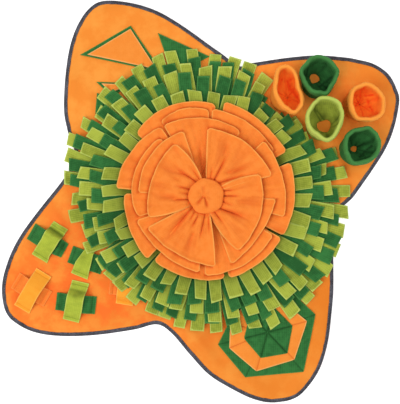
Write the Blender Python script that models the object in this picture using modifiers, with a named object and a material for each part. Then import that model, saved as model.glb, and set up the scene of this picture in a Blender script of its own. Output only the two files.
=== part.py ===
"""Snuffle mat: a four-lobed cloth mat with a bound edge.

On it sit a stitched flower of gathered petals, a thick ring of cut fringe in two greens,
five cuffed cloth cups, five pairs of crossed straps, four flat triangular flaps and a
nest of three polygon patches.

Lengths in the tables are millimetres and angles are degrees, counter-clockwise from +X.
The mat lies in the XY plane with its underside at z = 0, +Y towards the two far lobes.
"""

import math
import random

import bmesh
import bpy
from mathutils import Vector

MM = 0.001

# ---------------------------------------------------------------- driving dimensions
GAP = 0.3  # air left between pieces that touch
MAT_THICKNESS = 2.0
FLEECE = 2.0  # thickness of every fleece piece
ON_MAT = MAT_THICKNESS + GAP  # underside of a piece that lies on the mat

BINDING_WIDTH = 9.0
BINDING_TAPE = 0.6
BINDING_HEIGHT = MAT_THICKNESS + GAP + BINDING_TAPE
PINCHED = MAT_THICKNESS - GAP - BINDING_TAPE  # the sheet's thickness inside the folded tape

# Outline of the binding's outer edge, anticlockwise from the top of the far left lobe.
OUTLINE_STEPS = 3  # straight pieces between one outline point and the next
OUTLINE = [  # x, y
    (-158, 355), (-200, 336), (-229, 276), (-240, 175), (-234, 128), (-220, 81),
    (-240, 42), (-315, -57), (-346, -130), (-345, -186), (-320, -216), (-272, -234),
    (-195, -235), (-117, -225), (-76, -216), (-48, -233), (-18, -268), (12, -301),
    (45, -323), (93, -347), (138, -353), (182, -335), (218, -272), (234, -173), (238, -35), (275, 15),
    (330, 100), (350, 170), (345, 201), (325, 231), (284, 250), (200, 258),
    (97, 246), (69, 240), (29, 268), (-71, 334),
]  # fmt: skip

EDGE_SETBACK = BINDING_TAPE + GAP  # from the tape's fold to the sheet's edge
SHEET_RINGS = [(8.6, PINCHED), (12.6, MAT_THICKNESS)]  # inset from the sheet's edge, thickness

# ---------------------------------------------------------------- the flower
FLOWER = (10.5, 10.0)
PETAL_ROOT = 22.0
GATHER_THICKNESS = 4.2  # a petal's pleated inner end
TIER_PITCH_ROOT = GATHER_THICKNESS + GAP
TIER_PITCH_RIM = 3.5
RIM_HEIGHT = 21.0  # middle of the lowest tier once it lies over the fringe
RIM_RADIUS = 128.0
TIERS = ["outer_low", "outer", "middle_low", "middle", "top"]
PETALS = [  # tier, first angle, last angle, radius at the first, middle and last angle
    ("outer_low", 84, 138, 160, 169, 163),
    ("outer_low", 29, 79, 160, 161, 168),
    ("outer_low", -27, 22, 150, 154, 158),
    ("outer_low", 178, 227, 142, 144, 149),
    ("outer_low", 231, 283, 143, 145, 146),
    ("outer", 88, 121, 148, 156, 152),
    ("outer", 33, 86, 142, 146, 151),
    ("outer", 123, 175, 143, 151, 157),
    ("outer", -74, -29, 147, 148, 149),
    ("middle_low", 62, 121, 127, 135, 143),
    ("middle_low", -15, 44, 140, 136, 139),
    ("middle_low", 269, 330, 137, 135, 134),
    ("middle_low", 128, 197, 128, 130, 123),
    ("middle", 109, 177, 119, 119, 117),
    ("middle", 199, 265, 127, 124, 133),
    ("middle", -70, -2, 125, 114, 121),
    ("top", 122, 196, 106, 98, 106),
    ("top", 23, 88, 118, 114, 117),
    ("top", -59, 18, 109, 99, 100),
    ("top", 208, 276, 115, 111, 122),
]
PETAL_CORNER = 9.0  # how far a petal's two outer corners are rounded back
CORNER_SHARE = 0.1  # share of the petal's width that a rounded corner takes
PLEATS = 4  # soft pleats across a top petal
PLEAT_HEIGHT = 3.0
PLEAT_FROM, PLEAT_PEAK, PLEAT_TO = 29.0, 44.0, 92.0  # radii
BUTTON_RADIUS = 30.5
BUTTON_HEIGHT = 12.0
BUTTON_SINK = 1.1  # how far its rounded underside settles between the petals' gathered ends

# ---------------------------------------------------------------- the fringe
FRINGE_CENTRE = (10.3, 13.0)
STRIP_WIDTH = 22.4
BAND_WIDTH = 8.0
STRIP_SPLAY = 0.45  # how far a strip's heading strays, as a share of the step between strips
TIP_STRAY = 6.0
TIP_CURL = 0.4
LEAST_SEGMENT = 3.0  # shortest length between two bends
FRINGE_RINGS = [  # name, colour, strips, (radius, height of the strip's middle) from root to tip
    ("fringe_1_lime", "lime_fleece", 46, [(170, 3.3), (190, 6.0), (252, 6.0)]),
    ("fringe_2_green", "green_fleece", 41, [(152, 3.3), (170, 7.8), (190, 9.4), (238, 9.3)]),
    ("fringe_3_lime", "lime_fleece", 41, [(152, 5.9), (170, 11.1), (190, 12.9), (223, 12.8)]),
    ("fringe_4_green", "green_fleece", 36,
     [(133, 3.3), (152, 12.8), (170, 14.4), (190, 16.3), (208, 16.3)]),
    ("fringe_5_lime", "lime_fleece", 36, [(133, 6.0), (152, 16.6), (170, 18.2), (184, 18.9)]),
]  # fmt: skip
REACH = [  # angle, radius of the outermost tips there
    (0, 250), (30, 245), (60, 238), (90, 254), (120, 256), (135, 252), (143, 243),
    (155, 260), (170, 253), (180, 241), (192, 233), (200, 222), (206, 229), (221, 222),
    (240, 224), (252, 227), (270, 241), (300, 256), (330, 260), (345, 255), (360, 250),
]  # fmt: skip
FULL_REACH = 252.0
LIFTS = [  # first angle, last angle, height: where the fringe lies over other pieces
    (112, 134, 3.0),
    (205, 232, 9.2),
    (284, 304, 6.5),
]
LIFT_FADE = 36.0  # degrees over which a lift fades out at either end
LIFT_FROM, LIFT_FULL = 170.0, 190.0  # radii over which the fringe climbs
CUP_CLEARANCE = 33.0  # the strips beside a cup end this far from its middle

# ---------------------------------------------------------------- cups
CUP_HEIGHT = 58.0
CUP_WALL = 4.0
CUFF_THICKNESS = 6.5
CUFF_DEPTH = 16.0
CUP_SIDES = 24
CUPS = [  # name, colour, base x, base y, rim x, rim y, rim width, rim length, heading, pinch
    ("cup_1_orange", "orange_fleece", 151, 186, 145, 192, 53, 85, 110, 0.30),
    ("cup_2_green", "green_fleece", 206, 209, 201, 214, 62, 69, 100, 0.04),
    ("cup_3_lime", "lime_fleece", 214, 136, 210, 140, 66, 75, 80, 0.02),
    ("cup_4_orange", "orange_fleece", 279, 170, 281, 168, 61, 67, 100, 0.0),
    ("cup_5_green", "green_fleece", 273, 92, 273, 96, 62, 67, 60, 0.03),
]
CUP_BASE_RADIUS = 28.0

# ---------------------------------------------------------------- crossed straps
STRAP_WIDTH = 31.0
STRAP_TAB = 8.0  # length of each sewn-down end
STRAP_STEPS = 8
CREST_FLATNESS = 4
STRAPS = [  # name, x, y, heading, length, rise, colour: the under strap of a pair comes first
    ("strap_1_under", -264.5, -70, -29.6, 62, 6.5, "green_fleece"),
    ("strap_1_over", -263.5, -70, 57.8, 70, 15, "lime_fleece"),
    ("strap_2_under", -296, -154, -30, 66, 6.5, "orange_fleece"),
    ("strap_2_over", -293.5, -156, 58.6, 76, 15, "yellow_fleece"),
    ("strap_3_under", -218, -178, -6.2, 70, 6, "green_fleece"),
    ("strap_3_over", -218, -174.5, 76.4, 71, 15, "lime_fleece"),
    ("strap_4_under", -199.2, -102.3, -20, 62, 3, "green_fleece"),
    ("strap_4_over", -199.5, -102, 66, 62, 9, "lime_fleece"),
    ("strap_5_under", -126, -149.5, -5, 66, 3, "orange_fleece"),
    ("strap_5_over", -128, -148, 81, 66, 9, "yellow_fleece"),
]

# ---------------------------------------------------------------- flaps and polygon patches
SECOND_LAYER = ON_MAT + FLEECE + GAP
THIRD_LAYER = SECOND_LAYER + FLEECE + GAP
FLAPS = [  # name, colour, underside, corners anticlockwise
    ("flap_1_under", "green_fleece", ON_MAT, [(-211, 259), (-66, 228), (-122, 310)]),
    ("flap_1_over", "orange_fleece", SECOND_LAYER, [(-198, 259), (-76, 233), (-122, 304)]),
    ("flap_2", "green_fleece", ON_MAT, [(-74, 297), (-48, 223), (17, 256)]),
    ("flap_3_under", "green_fleece", ON_MAT, [(-182, 211), (-155, 185), (-116, 209)]),
    ("flap_3_over", "orange_fleece", SECOND_LAYER, [(-173, 208), (-155, 191), (-128, 206)]),
    ("flap_4", "green_fleece", ON_MAT, [(-181, 192), (-184, 155), (-136, 168)]),
]
PATCH_CENTRE = (118.6, -228.0)
PATCHES = [  # name, colour, underside, (angle, radius) of each corner
    ("patch_1_green", "green_fleece", ON_MAT,
     [(19.6, 90), (72, 88), (128, 76), (195, 90), (244, 89), (312, 95)]),
    ("patch_2_orange", "orange_fleece", SECOND_LAYER,
     [(15, 72), (78, 66), (125, 66), (168, 67), (203, 73), (254, 72), (314, 68)]),
]  # fmt: skip
HEXAGON = "patch_3_hexagon"
HEXAGON_CORNERS = [(14, 45), (75, 45), (135, 44), (195, 43), (255, 47), (313, 51)]
HEXAGON_PUFF = 1.6  # how far each of its six triangles stands proud of the creases

# ---------------------------------------------------------------- materials
MATERIALS = {  # base colour (linear red, green, blue), roughness
    "orange_canvas": ((0.93, 0.28, 0.045), 0.85),
    "grey_tape": ((0.085, 0.085, 0.11), 0.7),
    "orange_fleece": ((1.0, 0.27, 0.045), 0.95),
    "green_fleece": ((0.02, 0.18, 0.045), 0.95),
    "lime_fleece": ((0.36, 0.47, 0.055), 0.95),
    "yellow_fleece": ((0.95, 0.4, 0.03), 0.95),
}


def polar(centre, radius, degrees):
    angle = math.radians(degrees)
    return centre[0] + radius * math.cos(angle), centre[1] + radius * math.sin(angle)


def polar_of(centre, place):
    """Radius and angle of a place, seen from centre."""
    dx, dy = place[0] - centre[0], place[1] - centre[1]
    return math.hypot(dx, dy), math.degrees(math.atan2(dy, dx)) % 360


def smooth(t):
    """0 below 0, 1 above 1, and an S-curve between."""
    t = min(max(t, 0.0), 1.0)
    return t * t * (3 - 2 * t)


def between(a, b, t):
    return a + (b - a) * t


def table_value(table, x):
    """Linear reading of a table of (x, value) rows."""
    for (x0, v0), (x1, v1) in zip(table, table[1:]):
        if x <= x1:
            return between(v0, v1, (x - x0) / (x1 - x0))
    return table[-1][1]


def make_material(name):
    colour, roughness = MATERIALS[name]
    material = bpy.data.materials.new(name)
    material.use_nodes = True
    shader = material.node_tree.nodes["Principled BSDF"]
    shader.inputs["Base Color"].default_value = (*colour, 1.0)
    shader.inputs["Roughness"].default_value = roughness
    shader.inputs["Metallic"].default_value = 0.0
    return material


def add_piece(name, bm, material, smooth_shading=True):
    """Turns a bmesh in millimetres into a named object in metres."""
    bmesh.ops.scale(bm, vec=(MM, MM, MM), verts=bm.verts)
    bmesh.ops.recalc_face_normals(bm, faces=bm.faces)
    mesh = bpy.data.meshes.new(name)
    bm.to_mesh(mesh)
    bm.free()
    if smooth_shading:
        mesh.shade_smooth()
        mesh.set_sharp_from_angle(angle=math.radians(40))
    obj = bpy.data.objects.new(name, mesh)
    obj.data.materials.append(bpy.data.materials[material])
    bpy.data.collections["snuffle_mat"].objects.link(obj)
    return obj


def add_thickness(obj, thickness):
    """Makes an open surface the middle of a closed sheet."""
    solidify = obj.modifiers.new("thickness", "SOLIDIFY")
    solidify.thickness = thickness * MM
    solidify.offset = 0.0
    return solidify


def add_cloth(name, material, columns, rows, surface, thickness=FLEECE):
    """A sheet whose middle is surface(u, v), with u and v from 0 to 1."""
    bm = bmesh.new()
    bmesh.ops.create_grid(bm, x_segments=columns, y_segments=rows, size=0.5)
    for vert in bm.verts:
        vert.co = surface(vert.co.x + 0.5, vert.co.y + 0.5)
    obj = add_piece(name, bm, material)
    add_thickness(obj, thickness)
    return obj


# ---------------------------------------------------------------- mat and binding


def spline_point(p0, p1, p2, p3, t):
    """Catmull-Rom curve through p1 and p2."""
    return 0.5 * (
        2 * p1
        + (p2 - p0) * t
        + (2 * p0 - 5 * p1 + 4 * p2 - p3) * t * t
        + (3 * p1 - p0 - 3 * p2 + p3) * t**3
    )


def outline_points():
    points = [Vector(p) for p in OUTLINE]
    count = len(points)
    return [
        spline_point(
            points[i - 1],
            points[i],
            points[(i + 1) % count],
            points[(i + 2) % count],
            step / OUTLINE_STEPS,
        )
        for i in range(count)
        for step in range(OUTLINE_STEPS)
    ]


def inset_outline(points, distance):
    """The outline moved in towards the mat's middle, point by point."""
    moved = []
    for i, point in enumerate(points):
        along = (points[(i + 1) % len(points)] - points[i - 1]).normalized()
        moved.append(point + Vector((-along.y, along.x)) * distance)
    return moved


def build_mat(outline):
    """One sheet, flat on top, pinched thinner where the tape's lower leg passes under it."""
    bm = bmesh.new()
    pinch = bm.verts.layers.deform.verify()

    def set_thickness(face, thickness):
        for vert in face.verts:
            vert.co.z = MAT_THICKNESS - thickness / 2
            vert[pinch][0] = thickness / MAT_THICKNESS

    face = bm.faces.new([bm.verts.new((*p, 0.0)) for p in inset_outline(outline, EDGE_SETBACK)])
    face.normal_update()
    set_thickness(face, PINCHED)
    done = 0.0
    for inset, thickness in SHEET_RINGS:
        bmesh.ops.inset_individual(bm, faces=[face], thickness=inset - done, use_even_offset=True)
        set_thickness(face, thickness)
        done = inset
    mat = add_piece("mat", bm, "orange_canvas")
    mat.vertex_groups.new(name="pinch")
    thickness = add_thickness(mat, MAT_THICKNESS)
    thickness.vertex_group = "pinch"


def build_binding(outline):
    """A tape folded over the sheet's edge."""
    leg, fold, top = BINDING_WIDTH, BINDING_TAPE, BINDING_HEIGHT
    section = [  # inset, height
        (0, 0), (leg, 0), (leg, fold), (fold, fold),
        (fold, top - fold), (leg, top - fold), (leg, top), (0, top),
    ]  # fmt: skip
    bm = bmesh.new()
    rails = []
    for inset, height in section:
        rails.append([bm.verts.new((*p, height)) for p in inset_outline(outline, inset)])
    for rail, following in zip(rails, rails[1:] + rails[:1]):
        for i in range(len(outline)):
            bm.faces.new((rail[i - 1], rail[i], following[i], following[i - 1]))
    add_piece("edge_binding", bm, "grey_tape")


# ---------------------------------------------------------------- flower


def tier_height(tier, radius):
    """Middle of a petal of this tier: low where it is sewn, up over the fringe further out."""
    root = ON_MAT + GATHER_THICKNESS / 2 + tier * TIER_PITCH_ROOT
    rim = RIM_HEIGHT + tier * TIER_PITCH_RIM
    return between(root, rim, smooth((radius - PETAL_ROOT) / (RIM_RADIUS - PETAL_ROOT)))


def pleat(radius, share):
    """Soft pleats that rise from the button and fade out along a top petal."""
    if radius < PLEAT_PEAK:
        strength = smooth((radius - PLEAT_FROM) / (PLEAT_PEAK - PLEAT_FROM))
    else:
        strength = smooth((PLEAT_TO - radius) / (PLEAT_TO - PLEAT_PEAK))
    return PLEAT_HEIGHT * strength * math.sin(math.pi * PLEATS * share) ** 2


def petal_surface(tier, first, last, at_first, at_middle, at_last):
    def surface(u, v):
        # A parabola through the three stated radii.
        rim = (
            at_first * (1 - v) * (1 - 2 * v)
            + at_middle * 4 * v * (1 - v)
            + at_last * v * (2 * v - 1)
        )
        # Rows crowd towards both sides, where the corners are rounded.
        across = v - 0.075 * math.sin(2 * math.pi * v)
        to_side = min(across, 1 - across)
        rim -= PETAL_CORNER * max(0.0, 1 - to_side / CORNER_SHARE) ** 2
        radius = between(PETAL_ROOT, rim, u)
        x, y = polar(FLOWER, radius, between(first, last, across))
        height = tier_height(tier, radius)
        if TIERS[tier] == "top":
            height += pleat(radius, v)
        return Vector((x, y, height))

    return surface


def build_flower():
    counts = dict.fromkeys(TIERS, 0)
    for tier_name, *shape in PETALS:
        counts[tier_name] += 1
        is_top = tier_name == "top"
        petal = add_cloth(
            f"petal_{tier_name}_{counts[tier_name]}",
            "orange_fleece",
            5 if is_top else 4,
            2 * PLEATS if is_top else 6,
            petal_surface(TIERS.index(tier_name), *shape),
            thickness=GATHER_THICKNESS,
        )
        # The full thickness is only at the gathered end; the rest is a single fleece.
        gather = petal.vertex_groups.new(name="gather")
        centre = Vector(FLOWER) * MM
        for vert in petal.data.vertices:
            out = (vert.co.xy - centre).length / MM
            gather.add([vert.index], 1 - smooth((out - PETAL_ROOT) / 25), "REPLACE")
        thickness = petal.modifiers["thickness"]
        thickness.vertex_group = "gather"
        thickness.thickness_vertex_group = FLEECE / GATHER_THICKNESS

    bm = bmesh.new()
    bmesh.ops.create_uvsphere(bm, u_segments=20, v_segments=10, radius=1.0)
    root = ON_MAT + len(TIERS) * TIER_PITCH_ROOT - BUTTON_SINK
    for vert in bm.verts:
        width, degrees = polar_of((0, 0), vert.co)
        radius = BUTTON_RADIUS * width**0.7 * (1 - 0.04 * math.cos(math.radians(5 * degrees + 35)))
        vert.co = (*polar(FLOWER, radius, degrees), root + BUTTON_HEIGHT * (1 + vert.co.z) / 2)
    add_piece("button", bm, "orange_fleece")


# ---------------------------------------------------------------- fringe


def lift(place):
    """Height by which the fringe climbs over the straps, flaps and patches beneath it."""
    radius, degrees = polar_of(FRINGE_CENTRE, place)
    rise = max(
        height * smooth(1 - max(first - degrees, degrees - last) / LIFT_FADE)
        for first, last, height in LIFTS
    )
    return rise * min(max((radius - LIFT_FROM) / (LIFT_FULL - LIFT_FROM), 0.0), 1.0)


def clear_of_cups(start, out, length):
    """The length at which a strip from start still ends short of each cup."""
    for _, _, base_x, base_y, *_ in CUPS:
        to_cup = Vector((base_x, base_y)) - start
        ahead = to_cup.dot(out)
        aside = max(abs(to_cup.x * out.y - to_cup.y * out.x) - STRIP_WIDTH / 2, 0.0)
        if ahead > 0 and aside < CUP_CLEARANCE:
            length = min(length, ahead - math.sqrt(CUP_CLEARANCE**2 - aside**2))
    return length


def build_fringe_ring(name, material, strips, path, rng):
    """A sewn band cut into strips: the strips' roots are the band's own outer faces."""
    root, root_height = path[0]
    step = 360 / strips
    turn = rng.uniform(0, step)
    low, high = root_height - FLEECE / 2, root_height + FLEECE / 2
    inner = root - BAND_WIDTH
    bm = bmesh.new()
    section = [
        bm.verts.new((radius, 0.0, height))
        for radius, height in [(inner, low), (root, low), (root, high), (inner, high)]
    ]
    edges = [bm.edges.new((section[i - 1], section[i])) for i in range(len(section))]
    bmesh.ops.spin(
        bm, geom=[*section, *edges], cent=(0, 0, 0), axis=(0, 0, 1),
        angle=2 * math.pi, steps=2 * strips, use_merge=True,
    )  # fmt: skip
    # The band's even steps become a strip's root, a slit, the next root and so on.
    half_root = math.degrees(STRIP_WIDTH / 2 / root)
    ends = {}
    for vert in bm.verts:
        radius, degrees = polar_of((0, 0), vert.co)
        place = round(degrees / (step / 2)) % (2 * strips)
        middle = turn + step * (place // 2)
        vert.co.xy = polar(FRINGE_CENTRE, radius, middle + (half_root if place % 2 else -half_root))
        if radius > root - 1:
            ends.setdefault(place // 2, set()).add(vert)

    tips = []
    for index in range(strips):
        face = next(face for face in bm.faces if set(face.verts) == ends[index])
        degrees = (turn + step * index) % 360
        heading = math.radians(degrees + step * rng.uniform(-STRIP_SPLAY, STRIP_SPLAY))
        start = Vector(polar(FRINGE_CENTRE, root, degrees))
        out = Vector((math.cos(heading), math.sin(heading)))
        share = (table_value(REACH, degrees) - root) / (FULL_REACH - root)
        length = (path[-1][0] - root) * share + rng.uniform(-TIP_STRAY, TIP_STRAY)
        length = clear_of_cups(start, out, length)
        tips.append((face, start, out, length, rng.uniform(-TIP_CURL, TIP_CURL)))

    def bearing(face):
        return polar_of(FRINGE_CENTRE, face.calc_center_median())[1]

    for bend in range(1, len(path)):
        left = len(path) - 1 - bend
        # The extruded faces come back in no set order, so both lists go by their bearing.
        tips.sort(key=lambda tip: bearing(tip[0]))
        made = bmesh.ops.extrude_discrete_faces(bm, faces=[tip[0] for tip in tips])
        faces = sorted(made["faces"], key=bearing)
        tips = [(face, *tip[1:]) for face, tip in zip(faces, tips, strict=True)]
        for face, start, out, length, curl in tips:
            distance = min(path[bend][0] - root, length - left * LEAST_SEGMENT)
            if not left:
                distance = length
            height = table_value(path, root + distance) + (0.0 if left else curl)
            place = start + out * distance
            across = Vector((-out.y, out.x))
            middle = face.calc_center_median()
            for vert in face.verts:
                side = math.copysign(STRIP_WIDTH / 2, (vert.co - middle).xy.dot(across))
                level = math.copysign(FLEECE / 2, vert.co.z - middle.z)
                corner = place + across * side
                vert.co = (*corner, height + level + lift(corner))
    add_piece(name, bm, material)


# ---------------------------------------------------------------- cups, straps, flaps, patches


def build_cup(name, material, base_x, base_y, rim_x, rim_y, width, length, heading, pinch):
    """A cloth tube sewn to the mat, its top turned out into a soft cuff."""
    outer, inner, roll = CUP_BASE_RADIUS, CUP_BASE_RADIUS - CUP_WALL, CUFF_THICKNESS / 2
    hem = CUP_HEIGHT - CUFF_DEPTH
    profile = [  # radius, height
        (outer, 0), (outer, hem), (outer + roll - 1, hem + 2), (outer + roll - 0.5, CUP_HEIGHT - roll),
        (outer - 1, CUP_HEIGHT), (inner - 1, CUP_HEIGHT - roll), (inner, hem), (inner, 0),
    ]  # fmt: skip
    bm = bmesh.new()
    verts = [bm.verts.new((radius, 0.0, height)) for radius, height in profile]
    edges = [bm.edges.new((verts[i - 1], verts[i])) for i in range(len(verts))]
    bmesh.ops.spin(
        bm, geom=[*verts, *edges], cent=(0, 0, 0), axis=(0, 0, 1),
        angle=2 * math.pi, steps=CUP_SIDES, use_merge=True,
    )  # fmt: skip
    turn = math.radians(heading)
    for vert in bm.verts:
        x, y, z = vert.co
        radius, angle = math.hypot(x, y), math.atan2(y, x) - turn
        share = smooth(z / CUP_HEIGHT)
        # The plan goes from a circle at the base to the rim's own oval, pinched on one side.
        long_way = radius + share * (length / 2 - outer - roll)
        short_way = radius + share * (width / 2 - outer - roll)
        along, across = long_way * math.cos(angle), short_way * math.sin(angle)
        dent = pinch * share * outer * max(0.0, -math.sin(angle)) ** 2
        across += dent * smooth(1 - abs(along) / (length / 2))
        vert.co = (
            between(base_x, rim_x, share) + along * math.cos(turn) - across * math.sin(turn),
            between(base_y, rim_y, share) + along * math.sin(turn) + across * math.cos(turn),
            ON_MAT + z,
        )
    add_piece(name, bm, material)


def strap_height(distance, length, rise):
    """Middle of a strap at this distance from its centre: flat tabs and one broad arch."""
    half_span = length / 2 - STRAP_TAB
    share = min(abs(distance) / half_span, 1.0)
    return ON_MAT + FLEECE / 2 + rise * (1 - share**CREST_FLATNESS)


def build_strap(name, x, y, heading, length, rise, material):
    turn = math.radians(heading)
    along = Vector((math.cos(turn), math.sin(turn)))
    across = Vector((-along.y, along.x))

    def surface(u, v):
        # One step for each tab, and the others evenly along the arch.
        share = (u * STRAP_STEPS - 1) / (STRAP_STEPS - 2)
        half_span = length / 2 - STRAP_TAB
        if 0 <= round(share, 6) <= 1:
            distance = between(-half_span, half_span, share)
        else:
            distance = math.copysign(length / 2, share)
        place = Vector((x, y)) + along * distance + across * (v - 0.5) * STRAP_WIDTH
        return Vector((*place, strap_height(distance, length, rise)))

    add_cloth(name, material, STRAP_STEPS, 1, surface)


def build_polygon(name, material, underside, corners):
    bm = bmesh.new()
    middle = underside + FLEECE / 2
    bm.faces.new([bm.verts.new((*corner, middle)) for corner in corners])
    add_thickness(add_piece(name, bm, material, smooth_shading=False), FLEECE)


def build_hexagon():
    """Six puffed triangles that meet in creases, cut from one layer."""
    bm = bmesh.new()
    rim = [polar(PATCH_CENTRE, radius, angle) for angle, radius in HEXAGON_CORNERS]
    hub = bm.verts.new((*PATCH_CENTRE, THIRD_LAYER))
    corners = [bm.verts.new((*place, THIRD_LAYER)) for place in rim]
    triangles = [
        bm.faces.new((hub, corners[i - 1], corners[i])) for i in range(len(corners))
    ]
    top = bmesh.ops.extrude_face_region(bm, geom=triangles)
    raised = [item for item in top["geom"] if isinstance(item, bmesh.types.BMVert)]
    bmesh.ops.translate(bm, verts=raised, vec=(0, 0, FLEECE))
    upper = [item for item in top["geom"] if isinstance(item, bmesh.types.BMFace)]
    puffed = bmesh.ops.poke(bm, faces=upper)
    bmesh.ops.translate(bm, verts=puffed["verts"], vec=(0, 0, HEXAGON_PUFF))
    add_piece(HEXAGON, bm, "green_fleece", smooth_shading=False)


def main():
    for obj in list(bpy.data.objects):
        bpy.data.objects.remove(obj)
    collection = bpy.data.collections.new("snuffle_mat")
    bpy.context.scene.collection.children.link(collection)
    for name in MATERIALS:
        make_material(name)

    outline = outline_points()
    build_mat(outline)
    build_binding(outline)
    build_flower()
    for index, ring in enumerate(FRINGE_RINGS):
        build_fringe_ring(*ring, random.Random(index + 1))
    for cup in CUPS:
        build_cup(*cup)
    for strap in STRAPS:
        build_strap(*strap)
    for flap in FLAPS:
        build_polygon(*flap)
    for name, material, underside, corners in PATCHES:
        places = [polar(PATCH_CENTRE, radius, angle) for angle, radius in corners]
        build_polygon(name, material, underside, places)
    build_hexagon()

    # The origin lies on the floor, below the middle of the mat's bounding box.
    middle = [(min(axis) + max(axis)) / 2 for axis in zip(*outline)]
    for obj in collection.objects:
        obj.location = (-middle[0] * MM, -middle[1] * MM, 0.0)


main()
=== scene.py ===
import math
import random

import bmesh
import bpy
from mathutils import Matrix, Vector, noise


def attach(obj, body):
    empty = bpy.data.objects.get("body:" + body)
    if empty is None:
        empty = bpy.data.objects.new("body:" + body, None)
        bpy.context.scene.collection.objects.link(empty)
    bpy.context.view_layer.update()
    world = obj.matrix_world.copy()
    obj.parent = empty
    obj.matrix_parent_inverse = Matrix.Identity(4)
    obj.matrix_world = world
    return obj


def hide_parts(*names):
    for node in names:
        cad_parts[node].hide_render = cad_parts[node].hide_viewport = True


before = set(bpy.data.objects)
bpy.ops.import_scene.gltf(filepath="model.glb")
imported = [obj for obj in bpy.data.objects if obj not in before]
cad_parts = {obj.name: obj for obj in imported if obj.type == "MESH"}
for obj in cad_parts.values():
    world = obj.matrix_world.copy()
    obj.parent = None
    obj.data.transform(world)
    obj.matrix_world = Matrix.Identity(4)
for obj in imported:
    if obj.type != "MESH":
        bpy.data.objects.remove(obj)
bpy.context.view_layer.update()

# Lengths are millimetres and angles are degrees, anticlockwise from +X, unless a note says otherwise.
# They are laid out from the middle of the photograph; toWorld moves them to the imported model's origin.
mm = 0.001
layout = {
    "gap": 0.3,  # air left between pieces that touch
    "matThickness": 2.0,
    "fleece": 2.0,  # thickness of every fleece piece
    "flowerCentre": (10.5, 10.0),
    "sharpAngle": 60,  # edges sharper than this stay crisp, or are rounded where a piece is bevelled
    "outlineSteps": 3,  # steps between outline points that the solid uses; its box gives the origin
    "outline": [
        (-158, 355), (-200, 336), (-229, 276), (-240, 175), (-234, 128), (-220, 81),
        (-240, 42), (-315, -57), (-346, -130), (-345, -186), (-320, -216), (-272, -234),
        (-195, -235), (-117, -225), (-76, -216), (-48, -233), (-18, -268), (12, -301),
        (45, -323), (93, -347), (138, -353), (182, -335), (218, -272), (234, -173),
        (238, -35), (275, 15), (330, 100), (350, 170), (345, 201), (325, 231),
        (284, 250), (200, 258), (97, 246), (69, 240), (29, 268), (-71, 334),
    ],
}
onMat = layout["matThickness"] + layout["gap"]  # underside of whatever lies on the mat
secondLayer = onMat + layout["fleece"] + layout["gap"]
thirdLayer = secondLayer + layout["fleece"] + layout["gap"]


def smooth(t):
    t = min(max(t, 0.0), 1.0)
    return t * t * (3 - 2 * t)


def ramp(x, none, whole):
    # Grows softly from 0 where x is none to 1 where it is whole, whichever of the two is the larger.
    return smooth((x - none) / (whole - none))


def bell(x):
    # A soft bump: 1 at 0, and next to nothing beyond 2.5 on either side.
    return math.exp(-(x**2))


def between(a, b, t):
    return a + (b - a) * t


def noiseAt(x, y, z):
    return noise.noise(Vector((x, y, z)))


def polar(centre, radius, degrees):
    angle = math.radians(degrees)
    return Vector((centre[0] + radius * math.cos(angle), centre[1] + radius * math.sin(angle)))


def polarOf(centre, place):
    dx, dy = place[0] - centre[0], place[1] - centre[1]
    return math.hypot(dx, dy), math.degrees(math.atan2(dy, dx)) % 360


def direction(degrees):
    return polar((0, 0), 1, degrees)


def leftOf(along):
    return Vector((-along.y, along.x))


def alongLine(place, start, end, before=0.0, beyond=0.0):
    # How far along a line a place lies, as a share that ends at the line's ends or so far past them, and
    # how far it lies from the line there.
    line = end - start
    t = min(max((place - start).dot(line) / line.length_squared, -before), 1 + beyond)
    return t, (place - start - line * t).length


def sidesOf(points):
    # Each side of a closed outline, as its two ends.
    return zip(points, points[1:] + points[:1])


def readTable(rows, x):
    # Linear reading of (x, value) rows.
    for (x0, v0), (x1, v1) in zip(rows, rows[1:]):
        if x <= x1:
            return between(v0, v1, (x - x0) / (x1 - x0))
    return rows[-1][1]


def angleAway(a, b):
    return abs((a - b + 180) % 360 - 180)


def splinePoint(p0, p1, p2, p3, t):
    # Catmull-Rom curve through p1 and p2.
    return 0.5 * (
        2 * p1 + (p2 - p0) * t + (2 * p0 - 5 * p1 + 4 * p2 - p3) * t * t
        + (3 * p1 - p0 - 3 * p2 + p3) * t**3
    )


def outlinePoints(steps):
    points = [Vector(p) for p in layout["outline"]]
    count = len(points)
    return [
        splinePoint(points[i - 1], points[i], points[(i + 1) % count], points[(i + 2) % count],
                    step / steps)
        for i in range(count)
        for step in range(steps)
    ]


def insetOutline(points, distance):
    moved = []
    for i, point in enumerate(points):
        along = (points[(i + 1) % len(points)] - points[i - 1]).normalized()
        moved.append(point + leftOf(along) * distance)
    return moved


solidOutline = outlinePoints(layout["outlineSteps"])
originX, originY = ((min(axis) + max(axis)) / 2 for axis in zip(*solidOutline))

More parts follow.
